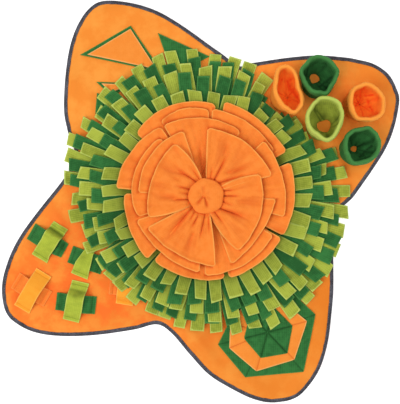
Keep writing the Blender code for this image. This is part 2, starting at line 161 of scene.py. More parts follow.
# Soft folds of the mat, which what is sewn to it outside the flower follows: start, end, half width and
# height.
wrinkles = {
    "folds": [
        ((-232, 2), (-214, -42), 9, 1.9), ((-258, -20), (-236, -58), 10, 1.7),
        ((-300, -92), (-276, -118), 11, 1.5), ((-262, -128), (-205, -122), 12, 1.5),
        ((-330, -150), (-330, -196), 10, 1.3), ((-300, -212), (-240, -222), 10, 1.6),
        ((-180, -60), (-212, -78), 9, 1.2), ((-165, -150), (-160, -205), 13, 1.5),
        ((-96, -160), (-84, -206), 12, 1.4), ((-60, -200), (-20, -248), 13, 1.8),
        ((-20, -225), (30, -290), 14, 1.9), ((45, -300), (110, -330), 13, 1.7),
        ((205, -300), (222, -200), 12, 1.8), ((160, -335), (205, -290), 12, 1.5),
        ((219, -150), (226, -60), 10, 1.3), ((262, 244), (252, 196), 12, 2.0),
        ((300, 236), (322, 205), 12, 1.7), ((333, 190), (330, 130), 12, 1.9),
        ((322, 112), (296, 66), 11, 1.7), ((240, 80), (252, 40), 10, 1.3),
        ((250, 226), (232, 178), 11, 1.6), ((120, 240), (175, 246), 9, 1.2),
        ((-225, 240), (-222, 170), 11, 1.3), ((-205, 120), (-222, 100), 9, 1.0),
        ((-190, 330), (-120, 340), 12, 1.2), ((-60, 318), (0, 280), 11, 1.2),
        ((-205, 230), (-196, 140), 14, 1.0),
    ],
    "foldScale": 2.6,
    "widthScale": 0.8,
    "overrun": 0.15,  # share of its length that a fold runs on past each end
    "fadeOver": 0.4,  # share of its length over which it fades there
    "endShare": 0.35,  # share of its height that it fades to
    "swell": 3.2,  # height and size of the broad unevenness between the folds
    "swellSize": 62.0,
    "radii": (150.0, 196.0),  # flat up to here from the flower's middle, and whole folds from there
}


def settle(x, y):
    # Height by which the mat, and all that is sewn to it, stands off the floor.
    table = wrinkles
    share = ramp(polarOf(layout["flowerCentre"], (x, y))[0], *table["radii"])
    if not share:
        return 0.0
    size, overrun, fadeOver = table["swellSize"], table["overrun"], table["fadeOver"]
    rise = table["swell"] * (0.5 + noiseAt(x / size, y / size, 3.1))
    for start, end, width, height in table["folds"]:
        t, aside = alongLine(Vector((x, y)), Vector(start), Vector(end), overrun, overrun)
        aside /= width * table["widthScale"]
        if aside < 3:
            fade = smooth((t + overrun) / fadeOver) * smooth((1 + overrun - t) / fadeOver)
            rise += table["foldScale"] * height * between(table["endShare"], 1, fade) * bell(aside)
    return max(rise, 0.0) * share


def toWorld(x, y, z):
    return Vector(((x - originX) * mm, (y - originY) * mm, z * mm))


def linear(hexColour):
    # An sRGB hex value as linear red, green, blue and alpha.
    parts = [int(hexColour[i : i + 2], 16) / 255 for i in (1, 3, 5)]
    return (*[c / 12.92 if c <= 0.04045 else ((c + 0.055) / 1.055) ** 2.4 for c in parts], 1.0)


def fillSockets(material, node, values):
    # A value is either a plain one or another node's output socket.
    for name, value in values.items():
        if isinstance(value, bpy.types.NodeSocket):
            material.node_tree.links.new(value, node.inputs[name])
        else:
            node.inputs[name].default_value = value


def addNode(material, kind, settings, links):
    node = material.node_tree.nodes.new("ShaderNode" + kind)
    for name, value in settings.items():
        setattr(node, name, value)
    fillSockets(material, node, links)
    return node


def startMaterial(name, shaderValues):
    material = bpy.data.materials.new(name)
    material.use_nodes = True
    shader = material.node_tree.nodes["Principled BSDF"]
    fillSockets(material, shader, shaderValues)
    return material, shader


# Fleece and tape meshes carry "cloth": millimetres across and along the cut, and to its nearest edge.
farIn = 9.0  # stands for the last where no cut edge is near


def clothPlace(material):
    attribute = addNode(material, "Attribute", {"attribute_name": "cloth"}, {})
    return addNode(material, "SeparateXYZ", {}, {"Vector": attribute.outputs["Vector"]})


def stripes(material, along, spacing):
    # A sine wave along one direction: wales, courses, threads and ribs are drawn with it.
    turns = addNode(material, "Math", {"operation": "MULTIPLY"}, {0: along, 1: 2 * math.pi / spacing})
    return addNode(material, "Math", {"operation": "SINE"}, {0: turns.outputs[0]}).outputs[0]


# Microfleece: brushed polyester knit. The nap takes the shine away and leaves a soft halo; a painted
# highlight lightens the cloth along its cut edges. Wales are really 1 mm apart and are drawn at 3.2 mm so
# that they show.
fleeceLook = {  # cloth, its shade, cut edge with a painted highlight, painted shade in folds and under other cloth, how far the edge and the knit show
    "orangeMicrofleece": ("#FE8D38", "#F47E28", "#F9B65C", "#CC4A0E", 0.6, 0.12),
    "orangeFlapFleece": ("#FB9438", "#F68A2E", "#FFC27A", "#C8480E", 0.7, 0.1),
    "orangeStrapFleece": ("#FC8834", "#F47A28", "#FFA658", "#D8581A", 0.4, 0.1),
    "orangeCupFleece": ("#FF922E", "#FB8222", "#FFB04C", "#EC460E", 0.6, 0.1),
    "limeMicrofleece": ("#AEBA44", "#8A9630", "#C8D86C", "#4C5C18", 0.8, 0.34),
    # The straps' lime is the same cloth painted brighter, as painted light on them.
    "limeStrapFleece": ("#B2C03E", "#98A834", "#CCDC6C", "#4C5C18", 0.7, 0.2),
    "greenMicrofleece": ("#35783A", "#235A28", "#55924A", "#123A16", 0.55, 0.3),
    "yellowMicrofleece": ("#FFA832", "#FB9C28", "#FFC25C", "#D87814", 0.7, 0.15),
}
fleeceScale = {
    "waleSpacing": 3.2, "courseSpacing": 4.16, "napSize": 1.4, "mottleSize": 11.0, "edgeWidth": 2.3,
}


def makeFleece(name):
    cloth, shade, edge, fold, highlightShows, knitShows = fleeceLook[name]
    material, shader = startMaterial(name, {
        "Roughness": 0.92, "IOR": 1.48, "Specular IOR Level": 0.25, "Metallic": 0.0,
        "Sheen Weight": 0.22, "Sheen Roughness": 0.55, "Sheen Tint": linear(edge),
    })
    place = addNode(material, "TexCoord", {}, {}).outputs["Object"]
    cut = clothPlace(material)
    mottle = addNode(material, "TexNoise", {}, {
        "Vector": place, "Scale": 1000 / fleeceScale["mottleSize"], "Detail": 3.0, "Roughness": 0.6})
    spread = addNode(material, "MapRange", {}, {
        "Value": mottle.outputs["Fac"], "From Min": 0.35, "From Max": 0.68})
    knit = addNode(material, "Math", {"operation": "MULTIPLY_ADD"}, {
        0: stripes(material, cut.outputs["Y"], fleeceScale["courseSpacing"]), 1: 0.35,
        2: stripes(material, cut.outputs["X"], fleeceScale["waleSpacing"])})
    knitTone = addNode(material, "MapRange", {}, {
        "Value": knit.outputs[0], "From Min": -1.35, "From Max": 1.35, "To Min": -knitShows,
        "To Max": knitShows})
    uneven = addNode(material, "Math", {"operation": "MULTIPLY_ADD"}, {
        0: spread.outputs["Result"], 1: 0.7, 2: knitTone.outputs["Result"]})
    # Each strip is cut from another place of the cloth, so its tone is its own; the green strips' tones also
    # carry painted shade.
    tone = addNode(material, "Attribute", {"attribute_name": "tone"}, {})
    amount = addNode(material, "Math", {"operation": "ADD", "use_clamp": True}, {
        0: uneven.outputs[0], 1: tone.outputs["Fac"]})
    body = addNode(material, "Mix", {"data_type": "RGBA"}, {
        0: amount.outputs[0], 6: linear(cloth), 7: linear(shade)})
    # Painted highlight along the cut edges.
    edgeHighlight = addNode(material, "MapRange", {"interpolation_type": "SMOOTHSTEP"}, {
        "Value": cut.outputs["Z"], "From Min": 0.6, "From Max": fleeceScale["edgeWidth"],
        "To Min": highlightShows, "To Max": 0.0})
    colour = addNode(material, "Mix", {"data_type": "RGBA"}, {
        0: edgeHighlight.outputs["Result"], 6: body.outputs[2], 7: linear(edge)})
    # Painted shade: the cloth is darkened towards the shade colour in creases, hollows, seams, the inside of
    # cups, at strip roots and outside a rim that lies above.
    creaseAndShade = addNode(material, "Attribute", {"attribute_name": "fold"}, {})
    shadedColour = addNode(material, "Mix", {"data_type": "RGBA"}, {
        0: creaseAndShade.outputs["Fac"], 6: colour.outputs[2], 7: linear(fold)})
    nap = addNode(material, "TexNoise", {}, {
        "Vector": place, "Scale": 1000 / fleeceScale["napSize"], "Detail": 2.0, "Roughness": 0.7})
    relief = addNode(material, "Math", {"operation": "MULTIPLY_ADD"}, {
        0: knit.outputs[0], 1: 0.16, 2: nap.outputs["Fac"]})
    bump = addNode(material, "Bump", {}, {
        "Height": relief.outputs[0], "Strength": 0.45, "Distance": 0.0005})
    fillSockets(material, shader, {
        "Base Color": shadedColour.outputs[2], "Normal": bump.outputs["Normal"]})
    return material


# Oxford canvas: plain-woven polyester, dyed orange. It is smoother than the fleece, with a faint grid
# of threads and uneven colour. Threads are really 0.6 mm apart and are drawn at 1.8 mm.
canvasLook = {
    # deep is the colour of the painted shade that the mat's tones give; red is the colour of the redder
    # places.
    "cloth": "#FA9030", "pale": "#FFA03E", "deep": "#E67A1A", "red": "#FF7426",
    "threadSpacing": 1.8, "mottleSize": 34.0,
}


def makeCanvas():
    look = canvasLook
    material, shader = startMaterial("orangeOxfordCanvas", {
        "Roughness": 0.82, "IOR": 1.5, "Specular IOR Level": 0.22, "Metallic": 0.0,
        "Sheen Weight": 0.03, "Sheen Roughness": 0.5, "Sheen Tint": linear(look["pale"]),
    })
    place = addNode(material, "TexCoord", {}, {}).outputs["Object"]
    axes = addNode(material, "SeparateXYZ", {}, {"Vector": place})
    warp = stripes(material, axes.outputs["X"], look["threadSpacing"] * mm)
    weft = stripes(material, axes.outputs["Y"], look["threadSpacing"] * mm)
    weave = addNode(material, "Math", {"operation": "MULTIPLY"}, {0: warp, 1: weft})
    mottle = addNode(material, "TexNoise", {}, {
        "Vector": place, "Scale": 1000 / look["mottleSize"], "Detail": 4.0, "Roughness": 0.62})
    paleShare = addNode(material, "MapRange", {}, {
        "Value": mottle.outputs["Fac"], "From Min": 0.4, "From Max": 0.62})
    tone = addNode(material, "Attribute", {"attribute_name": "tone"}, {})
    tones = addNode(material, "SeparateXYZ", {}, {"Vector": tone.outputs["Vector"]})
    base = addNode(material, "Mix", {"data_type": "RGBA"}, {
        0: paleShare.outputs["Result"], 6: linear(look["cloth"]), 7: linear(look["pale"])})
    # Painted shade where the mat's tones say deeper.
    deeperShade = addNode(material, "Mix", {"data_type": "RGBA"}, {
        0: tones.outputs["X"], 6: base.outputs[2], 7: linear(look["deep"])})
    patchy = addNode(material, "MapRange", {}, {
        "Value": mottle.outputs["Fac"], "From Min": 0.4, "From Max": 0.6, "To Min": 1.2, "To Max": 0.35})
    redShare = addNode(material, "Math", {"operation": "MULTIPLY", "use_clamp": True}, {
        0: tones.outputs["Y"], 1: patchy.outputs["Result"]})
    redder = addNode(material, "Mix", {"data_type": "RGBA"}, {
        0: redShare.outputs[0], 6: deeperShade.outputs[2], 7: linear(look["red"])})
    relief = addNode(material, "Math", {"operation": "MULTIPLY_ADD"}, {
        0: weave.outputs[0], 1: 0.3, 2: mottle.outputs["Fac"]})
    bump = addNode(material, "Bump", {}, {
        "Height": relief.outputs[0], "Strength": 0.25, "Distance": 0.0004})
    fillSockets(material, shader, {
        "Base Color": redder.outputs[2], "Normal": bump.outputs["Normal"]})
    return material


# Grosgrain tape: ribbed polyester binding, dark grey, with a slight gloss on its ribs and pale patches along
# it that are painted glints. Ribs are really 0.9 mm apart and are drawn at 2.4 mm.
tapeLook = {"dark": "#2B2A32", "cloth": "#3B3A43", "paintedGlint": "#595963", "ribSpacing": 2.4, "patchSize": 13.0}


def makeTape():
    look = tapeLook
    material, shader = startMaterial("greyGrosgrainTape", {
        "Roughness": 0.6, "IOR": 1.5, "Specular IOR Level": 0.45, "Metallic": 0.0,
        "Sheen Weight": 0.12, "Sheen Roughness": 0.4, "Sheen Tint": linear("#A0A0B0"),
    })
    ribs = stripes(material, clothPlace(material).outputs["Y"], look["ribSpacing"])
    patches = addNode(material, "TexNoise", {}, {
        "Vector": addNode(material, "TexCoord", {}, {}).outputs["Object"],
        "Scale": 1000 / look["patchSize"], "Detail": 3.0, "Roughness": 0.65})
    # Pale patches are painted glints, where puckers of the tape catch the light.
    paintedGlint = addNode(material, "MapRange", {}, {
        "Value": patches.outputs["Fac"], "From Min": 0.48, "From Max": 0.72})
    dark = addNode(material, "MapRange", {}, {
        "Value": patches.outputs["Fac"], "From Min": 0.3, "From Max": 0.46, "To Min": 1.0, "To Max": 0.0})
    base = addNode(material, "Mix", {"data_type": "RGBA"}, {
        0: paintedGlint.outputs["Result"], 6: linear(look["cloth"]), 7: linear(look["paintedGlint"])})
    darker = addNode(material, "Mix", {"data_type": "RGBA"}, {
        0: dark.outputs["Result"], 6: base.outputs[2], 7: linear(look["dark"])})
    bump = addNode(material, "Bump", {}, {"Height": ribs, "Strength": 0.4, "Distance": 0.0003})
    fillSockets(material, shader, {
        "Base Color": darker.outputs[2], "Normal": bump.outputs["Normal"]})
    return material


# Spun polyester sewing thread: two plies, a little glossy, grey to go with the tape.
threadLook = {"cloth": "#8C8C98", "shade": "#6A6A76", "plySpacing": 1.2}


def makeThread():
    look = threadLook
    material, shader = startMaterial("greySewingThread", {
        "Roughness": 0.5, "IOR": 1.5, "Specular IOR Level": 0.5, "Metallic": 0.0,
    })
    plies = addNode(material, "TexNoise", {}, {
        "Vector": addNode(material, "TexCoord", {}, {}).outputs["Object"],
        "Scale": 1000 / look["plySpacing"], "Detail": 1.0})
    colour = addNode(material, "Mix", {"data_type": "RGBA"}, {
        0: plies.outputs["Fac"], 6: linear(look["cloth"]), 7: linear(look["shade"])})
    fillSockets(material, shader, {"Base Color": colour.outputs[2]})
    return material


finishes = {name: makeFleece(name) for name in fleeceLook}
finishes["orangeOxfordCanvas"] = makeCanvas()
finishes["greyGrosgrainTape"] = makeTape()
finishes["greySewingThread"] = makeThread()
print("materials:", len(finishes))


def startCloth():
    bm = bmesh.new()
    bm.verts.layers.float_vector.new("cloth")
    bm.verts.layers.float.new("fold")
    return bm


def addVert(bm, place, cloth=(0.0, 0.0, farIn), fold=0.0):
    vert = bm.verts.new(place)
    vert[bm.verts.layers.float_vector["cloth"]] = cloth
    vert[bm.verts.layers.float["fold"]] = min(max(fold, 0.0), 1.0)
    return vert


def joinRows(bm, rows, closed=False):
    # Quads between rows of vertices; closed joins each row's end to its start.
    for row, following in zip(rows, rows[1:]):
        for i in range(len(row) - (0 if closed else 1)):
            j = (i + 1) % len(row)
            bm.faces.new((row[i], row[j], following[j], following[i]))


def closeFan(bm, row, hub):
    # Triangles from a closed row of vertices to one in its middle.
    for i in range(len(row)):
        bm.faces.new((row[i - 1], row[i], hub))


def addSheet(bm, columns, rows, surface, clothAt, foldAt):
    grid = [[addVert(bm, surface(u, v), clothAt(u, v), foldAt(u, v)) for u in columns] for v in rows]
    joinRows(bm, grid)
    return grid


def finishPiece(name, bm, finish, thickness=0.0, bevel=0.0, follow=True):
    # Lays the mesh on the uneven mat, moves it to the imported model's frame and gives it thickness.
    for vert in bm.verts:
        rise = settle(vert.co.x, vert.co.y) if follow else 0.0
        vert.co = toWorld(vert.co.x, vert.co.y, vert.co.z + rise)
    bmesh.ops.recalc_face_normals(bm, faces=bm.faces)
    mesh = bpy.data.meshes.new(name)
    bm.to_mesh(mesh)
    bm.free()
    mesh.shade_smooth()
    piece = bpy.data.objects.new(name, mesh)
    bpy.context.scene.collection.objects.link(piece)
    mesh.materials.append(finishes[finish])
    if thickness:
        solid = piece.modifiers.new("thickness", "SOLIDIFY")
        solid.thickness = thickness * mm
        solid.offset = 0.0
    if bevel:
        soft = piece.modifiers.new("soft edge", "BEVEL")
        soft.width = bevel * mm
        soft.segments = 2
        soft.limit_method = "ANGLE"
        soft.angle_limit = math.radians(layout["sharpAngle"])
    mesh.set_sharp_from_angle(angle=math.radians(layout["sharpAngle"]))
    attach(piece, "root")
    return piece


def evenly(count):
    return [i / count for i in range(count + 1)]


def distanceToOutline(place, points, farthest=60.0):
    # Sides that start farther away than this, across or along, aren't looked at.
    near = [
        (a, b) for a, b in sidesOf(points)
        if abs(a.x - place.x) <= farthest and abs(a.y - place.y) <= farthest
    ]
    return min((alongLine(place, a, b)[1] for a, b in near), default=farthest)


matSheet = {
    "outlineSteps": 8,
    "gridStep": 6.5,
    "edgeSetback": 0.9,  # from the tape's fold to the sheet's edge
    "pinched": 1.1,  # thickness inside the tape, and the insets over which it grows to full
    "pinchRings": (9.5, 13.5),
    # Places where the canvas is painted darker, as painted shade, and places where it is redder: x, y,
    # radius, deeper, redder.
    "tones": [
        (300, 150, 90, 0.2, 0.0), (235, 175, 45, 0.0, 0.3), (255, 60, 60, 0.3, 0.1),
        (320, 215, 40, 0.3, 0.0), (235, -210, 75, 0.75, 0.0), (222, -110, 60, 0.5, 0.0),
        (120, -320, 75, 0.4, 0.0), (150, 215, 40, 0.35, 0.3), (-275, -180, 60, 0.1, 0.8),
        (-215, -125, 50, 0.1, 0.6), (-160, -195, 60, 0.35, 0.75), (-60, -205, 45, 0.15, 0.5),
        (-300, -95, 45, 0.15, 0.3), (-235, -60, 45, 0.1, 0.4), (-330, -150, 40, 0.1, 0.4),
        (-215, -20, 45, 0.3, 0.55), (-185, 60, 45, 0.35, 0.5), (-165, 105, 40, 0.25, 0.4),
        (20, -262, 45, 0.35, 0.1), (45, -215, 40, 0.5, 0.3), (-230, 215, 30, 0.15, 0.0),
        (-100, -130, 40, 0.35, 0.5),
    ],
}


def buildMat():
    table = matSheet
    outline = outlinePoints(table["outlineSteps"])
    edge = insetOutline(outline, table["edgeSetback"])
    bm = bmesh.new()
    toneLayer = bm.verts.layers.float_vector.new("tone")
    pinch = bm.verts.layers.deform.verify()
    bm.faces.new([bm.verts.new((*p, 0.0)) for p in edge]).normal_update()
    for axis, normal in ((0, (1, 0, 0)), (1, (0, 1, 0))):
        low = min(p[axis] for p in edge)
        high = max(p[axis] for p in edge)
        for step in range(1, int((high - low) / table["gridStep"]) + 1):
            at = [0.0, 0.0, 0.0]
            at[axis] = low + step * table["gridStep"]
            bmesh.ops.bisect_plane(
                bm, geom=[*bm.verts, *bm.edges, *bm.faces], dist=0.01, plane_co=at, plane_no=normal)
    for vert in bm.verts:
        share = ramp(distanceToOutline(vert.co.xy, outline), *table["pinchRings"])
        grown = between(table["pinched"], layout["matThickness"], share)
        vert.co.z = layout["matThickness"] - grown / 2
        vert[pinch][0] = grown / layout["matThickness"]
        deeperShade = redder = 0.0
        for x, y, radius, deep, red in table["tones"]:
            share = bell(math.hypot(vert.co.x - x, vert.co.y - y) / radius)
            deeperShade += deep * share
            redder += red * share
        vert[toneLayer] = (min(deeperShade, 1.0), min(redder, 1.0), 0.0)
    piece = finishPiece("canvas_mat", bm, "orangeOxfordCanvas", layout["matThickness"])
    piece.vertex_groups.new(name="pinch")
    piece.modifiers["thickness"].vertex_group = "pinch"
    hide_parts("mat")


binding = {
    "outlineSteps": 26,
    "width": 6.8,
    "turnedEdge": 3.0,  # how much wider the flat tape is than twice its width
    "pucker": 0.55,  # how far the tape draws in and out between stitches
    "puckerLength": 11.0,
    # Section of the folded tape: inset from the fold, height, and how far the pucker lifts it and draws
    # it inward. The legs lie above and below the mat.
    "section": [
        (1.0, 0.0, 0, 0), (4.0, 0.0, 0, 0), (6.6, 0.0, 0, 1.3), (6.8, 0.3, 0, 1.3),
        (6.6, 0.6, 0, 1.3), (3.8, 0.6, 0, 0), (0.75, 0.65, 0, 0), (0.6, 1.4, 0.3, 0),
        (0.75, 2.2, 0.3, 0), (3.8, 2.3, 1, 0), (6.5, 2.3, 0.3, 1.3), (6.8, 2.6, 0.3, 1.3),
        (6.4, 2.95, 0.3, 1.3), (5.3, 3.0, 1, 1.3), (3.8, 3.3, 1, 0), (2.0, 3.2, 1, 0),
        (0.8, 2.7, 0.3, 0), (0.15, 2.0, 0.3, 0), (0.0, 1.3, 0.3, 0), (0.2, 0.5, 0, 0),
    ],
    "stitchLength": 3.2,
    "stitchStep": 5.0,
    "stitchInset": 5.5,
    "stitchHeight": 2.95,
    "stitchLifted": 0.3,  # how far the pucker lifts it
    "stitchDip": 0.125,  # how far its ends go down into the tape
    "stitchRadius": 0.28,
    # Form of a stitch: share of its length from its middle, share of its radius.
    "stitchForm": [(-0.5, 0.3), (-0.36, 1.0), (0.0, 1.15), (0.36, 1.0), (0.5, 0.3)],
}


def buildBinding():
    table = binding
    outline = outlinePoints(table["outlineSteps"])
    inward = [p - q for p, q in zip(insetOutline(outline, 1.0), outline)]
    lengths = [0.0]
    for a, b in sidesOf(outline):
        lengths.append(lengths[-1] + (b - a).length)
    around = lengths[-1]

    def puckerAt(length):
        return table["pucker"] * noiseAt(length / table["puckerLength"], 0.0, 7.0)

    bm = startCloth()
    rows = []
    for inset, height, lifted, drawn in table["section"]:
        row = []
        for point, into, length in zip(outline, inward, lengths):
            place = point + into * (inset + drawn * puckerAt(length))
            level = height + lifted * puckerAt(length)
            row.append(addVert(bm, (*place, level), (inset, length, farIn)))
        rows.append(row)
    joinRows(bm, [*rows, rows[0]], closed=True)
    tape = finishPiece("edge_tape", bm, "greyGrosgrainTape")
    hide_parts("edge_binding")

    # A row of lockstitches along the tape's inner edge.
    bm = startCloth()
    count = int(around / table["stitchStep"])
    at = 0
    for stitch in range(count):
        while lengths[at + 1] < around * stitch / count:
            at += 1
        point = outline[at] + inward[at] * table["stitchInset"]
        along = (outline[(at + 1) % len(outline)] - outline[at]).normalized()
        height = table["stitchHeight"] + table["stitchLifted"] * puckerAt(lengths[at])
        rings = []
        for share, fat in table["stitchForm"]:
            middle = point + along * table["stitchLength"] * share
            level = height - 2 * table["stitchDip"] * abs(share)
            spokes = [polar((0, level), table["stitchRadius"] * fat, 60 * side) for side in range(6)]
            rings.append([addVert(bm, (*(middle + leftOf(along) * off), up)) for off, up in spokes])
        joinRows(bm, rings, closed=True)
        bm.faces.new(rings[0])
        bm.faces.new(rings[-1])
    stitches = finishPiece("edge_stitches", bm, "greySewingThread")


buildMat()
buildBinding()
print("mat and binding")

flower = {
    "root": 22.0,  # radius of a petal's gathered inner end
    "gather": 4.2,  # thickness that the solid has there
    "rimHeight": 21.0,  # middle of the lowest tier once it lies over the fringe
    "rimPitch": 3.5,
    "rimRadius": 128.0,
    "corner": 4.5,  # how far a petal's two outer corners are rounded back
    "cornerShare": 0.045,
    "tiers": ["outer_low", "outer", "middle_low", "middle", "top"],
    "petals": [  # tier, first angle, last angle, radius at the first, middle and last angle
        ("outer_low", 84, 138, 160, 169, 163),
        ("outer_low", 29, 79, 160, 161, 168),
        ("outer_low", -27, 22, 150, 154, 158),
        ("outer_low", 178, 227, 142, 144, 149),
        ("outer_low", 231, 283, 143, 145, 146),
        ("outer", 88, 121, 148, 156, 152),
        ("outer", 33, 86, 142, 146, 151),
        ("outer", 123, 175, 143, 151, 157),
        ("outer", -74, -29, 147, 148, 149),
        ("middle_low", 62, 121, 127, 135, 143),
        ("middle_low", -15, 44, 140, 136, 139),
        ("middle_low", 269, 330, 137, 135, 134),
        ("middle_low", 128, 197, 128, 130, 123),
        ("middle", 109, 177, 119, 119, 117),
        ("middle", 199, 265, 127, 124, 133),
        ("middle", -70, -2, 125, 114, 121),
        ("top", 122, 196, 106, 98, 106),
        ("top", 23, 88, 118, 114, 117),
        ("top", -59, 18, 109, 99, 100),
        ("top", 208, 276, 115, 111, 122),
    ],
    # Creases: tier, angle and radius where one starts and ends, depth, half width.
    "creases": [
        ("top", 63, 34, 63, 97, 7.5, 2.6), ("top", 42, 36, 27, 88, 6.5, 3.0),
        ("top", 76, 34, 79, 60, 3.5, 2.4), ("top", 87, 36, 88, 70, 3.5, 1.8),
        ("top", 17, 32, 12, 52, 6.5, 1.7), ("top", 1, 30, 0, 64, 7.5, 1.9),
        ("top", -42, 30, -28, 92, 7.5, 2.8), ("top", -61, 34, -58, 58, 6.0, 2.0),
        ("top", -18, 32, -20, 60, 4.0, 2.8), ("top", -76, 36, -70, 60, 4.0, 2.2),
        ("top", 221, 36, 227, 106, 6.5, 3.4), ("top", 247, 40, 245, 66, 7.0, 2.1),
        ("top", 265, 38, 261, 84, 7.5, 2.1), ("top", 234, 36, 238, 60, 4.5, 2.4),
        ("top", 276, 40, 274, 70, 4.5, 2.0), ("top", 212, 34, 211, 70, 3.5, 2.2),
        ("top", 124, 30, 139, 88, 7.0, 2.6), ("top", 157, 29, 161, 60, 7.0, 2.2),
        ("top", 191, 30, 186, 66, 7.5, 1.9), ("top", 173, 31, 172, 50, 4.5, 2.2),
        ("top", 112, 34, 118, 64, 4.0, 2.4), ("top", 152, 62, 170, 100, 2.0, 6.0),
        ("middle_low", 98, 44, 97, 118, 5.0, 2.2), ("middle_low", 93, 44, 92, 92, 4.0, 2.0),
        ("middle_low", 80, 90, 84, 132, 2.2, 4.0), ("middle", 150, 98, 158, 118, 2.0, 4.0),
        ("outer", 148, 118, 156, 150, 2.6, 5.0), ("outer", 135, 112, 137, 146, 2.2, 4.0),
        ("outer", 60, 118, 64, 146, 2.4, 5.0), ("outer_low", 120, 132, 116, 168, 2.4, 5.0),
        ("outer_low", 196, 118, 200, 146, 2.4, 4.0), ("middle_low", 300, 112, 296, 134, 2.2, 4.0),
        ("outer", -52, 122, -50, 146, 2.2, 5.0), ("outer", 166, 124, 168, 150, 2.4, 4.0),
        ("outer_low", 250, 118, 250, 146, 2.0, 6.0), ("outer_low", 102, 140, 104, 168, 1.8, 6.0),
        # broad soft folds
        ("top", -36, 44, -24, 98, 6.0, 6.0), ("top", 223, 52, 228, 110, 6.0, 6.5),
        ("top", 138, 58, 148, 98, 5.5, 5.5), ("top", 46, 58, 32, 98, 6.0, 5.5),
        ("top", -10, 60, -8, 98, 4.5, 6.0), ("top", 181, 58, 178, 100, 4.5, 6.0),
        ("top", 251, 70, 250, 108, 5.0, 6.5), ("top", 66, 80, 68, 110, 4.0, 5.5),
    ],
    # Form of a crease. As shares of its length: how far it runs on before its start and beyond its end,
    # and how long it fades. As shares of its half width: its width at the start, and what it widens by.
    # Its sharpness and shade, and the depth and half width for which the shade is whole.
    "creaseForm": {
        "before": 0.3, "beyond": 0.1, "fades": 0.9, "width": 0.75, "widens": 0.9, "sharpness": 1.4,
        "shade": 0.7, "wholeDepth": 6.5, "wholeHalf": 3.2,
    },
    "rimRoughness": [(1.3, 5, 0.0), (0.6, 14, 4.0)],  # uneven cut: size, waves along the rim, seed
    "edgeRoll": 2.2,  # how far the cut rims curl up, over rollWidth, and the lower tiers' share of it
    "rollWidth": 8.0,
    "lowerRoll": 0.75,
    "rimShade": (6.5, 0.7),  # width and strength of the shade outside a rim that lies above
    # Each pair of radii below is where a form is nothing, then where it is whole.
    "streaks": (0.2, 1.5, 8.5),  # soft folds that run out from the button: shade, depth, width in degrees
    "streakRadii": (32, 62),
    # How a top petal's cut sides leave the solid's straight ones: degrees at the inner of sideRadii, then
    # at the outer, for the first and the last side; and the lift where the last side lies over a neighbour.
    "sides": {
        "petal_top_1": (-17, 15, 0, 3, 2.8), "petal_top_2": (-2, 2, -6, 1, 0.0),
        "petal_top_3": (-16, 15, 0, 2, 2.8), "petal_top_4": (0, 6, 0, 2, 0.0),
    },
    "sideRadii": (40, 112),
    "lapShares": (0.78, 0.98),  # where across the petal that lift is nothing, then whole
    "lapRadii": (28, 44),
    "wave": (1.5, 34.0),  # soft waves of every petal: height, size
    "waveRadii": (60, 100),
    "fullness": 8.5,  # how far a top petal swells up round the button
    "swellRadii": (28, 40),
    "fallRadii": (108, 48),
    "ruffle": 0.6,  # waves along a top petal's rim
    "ruffleRadii": (60, 90),
    "puckers": 1.4,  # radial puckers that show beyond the rims above, on the lower tiers
    "puckerWidth": 6.5,  # in degrees
    "puckerRadii": (80, 100),
    "puckerEnd": 14.0,  # distance from the rim over which they flatten
    "steps": (30, 48),  # steps outward and across, and those of a top petal
    "topSteps": (44, 90),
}


def tierHeight(tier, radius):
    table = flower
    root = onMat + table["gather"] / 2 + tier * (table["gather"] + layout["gap"])
    rim = table["rimHeight"] + tier * table["rimPitch"]
    return between(root, rim, ramp(radius, table["root"], table["rimRadius"]))


def creaseAt(tierName, place):
    # Depth of the creases here, and how much painted shade they give, 0 to 1.
    form = flower["creaseForm"]
    before, beyond = form["before"], form["beyond"]
    depth = creaseAndShade = 0.0
    for tier, startAngle, startRadius, endAngle, endRadius, deep, half in flower["creases"]:
        if tier != tierName:
            continue
        start = polar(layout["flowerCentre"], startRadius, startAngle)
        end = polar(layout["flowerCentre"], endRadius, endAngle)
        t, aside = alongLine(place, start, end, before, beyond)
        aside /= half * (form["width"] + form["widens"] * max(t, 0.0))
        strength = smooth((t + before) / before) * smooth((1 + beyond - t) / form["fades"])
        strength *= math.exp(-(aside ** form["sharpness"]))
        depth += deep * strength
        shade = form["shade"] * min(deep / form["wholeDepth"], 1.0) * min(form["wholeHalf"] / half, 1.0)
        creaseAndShade = max(creaseAndShade, shade * strength)
    return depth, creaseAndShade


def underRim(tier, place):
    # How closely the cloth lies outside the rim of a petal above it, 0 to 1: there it is in its shade.
    radius, degrees = polarOf(layout["flowerCentre"], place)
    nearest = flower["rimShade"][0]
    for tierName, first, last, atFirst, atMiddle, atLast in flower["petals"]:
        turn = (degrees - first) % 360
        if flower["tiers"].index(tierName) <= tier or turn > last - first:
            continue
        share = turn / (last - first)
        rim = between(between(atFirst, atMiddle, 2 * share), between(atMiddle, atLast, 2 * share - 1), share)
        if rim - 2 < radius:
            nearest = min(nearest, radius - rim)
    return 1 - smooth(nearest / flower["rimShade"][0])


def streakAt(tier, place):
    radius, degrees = polarOf(layout["flowerCentre"], place)
    across = degrees / flower["streaks"][2]
    wave = noiseAt(across, radius / 55, 3.0 * tier)
    wave += 0.5 * noiseAt(2.3 * across, radius / 40, 9.0 + tier)
    return wave * ramp(radius, *flower["streakRadii"])


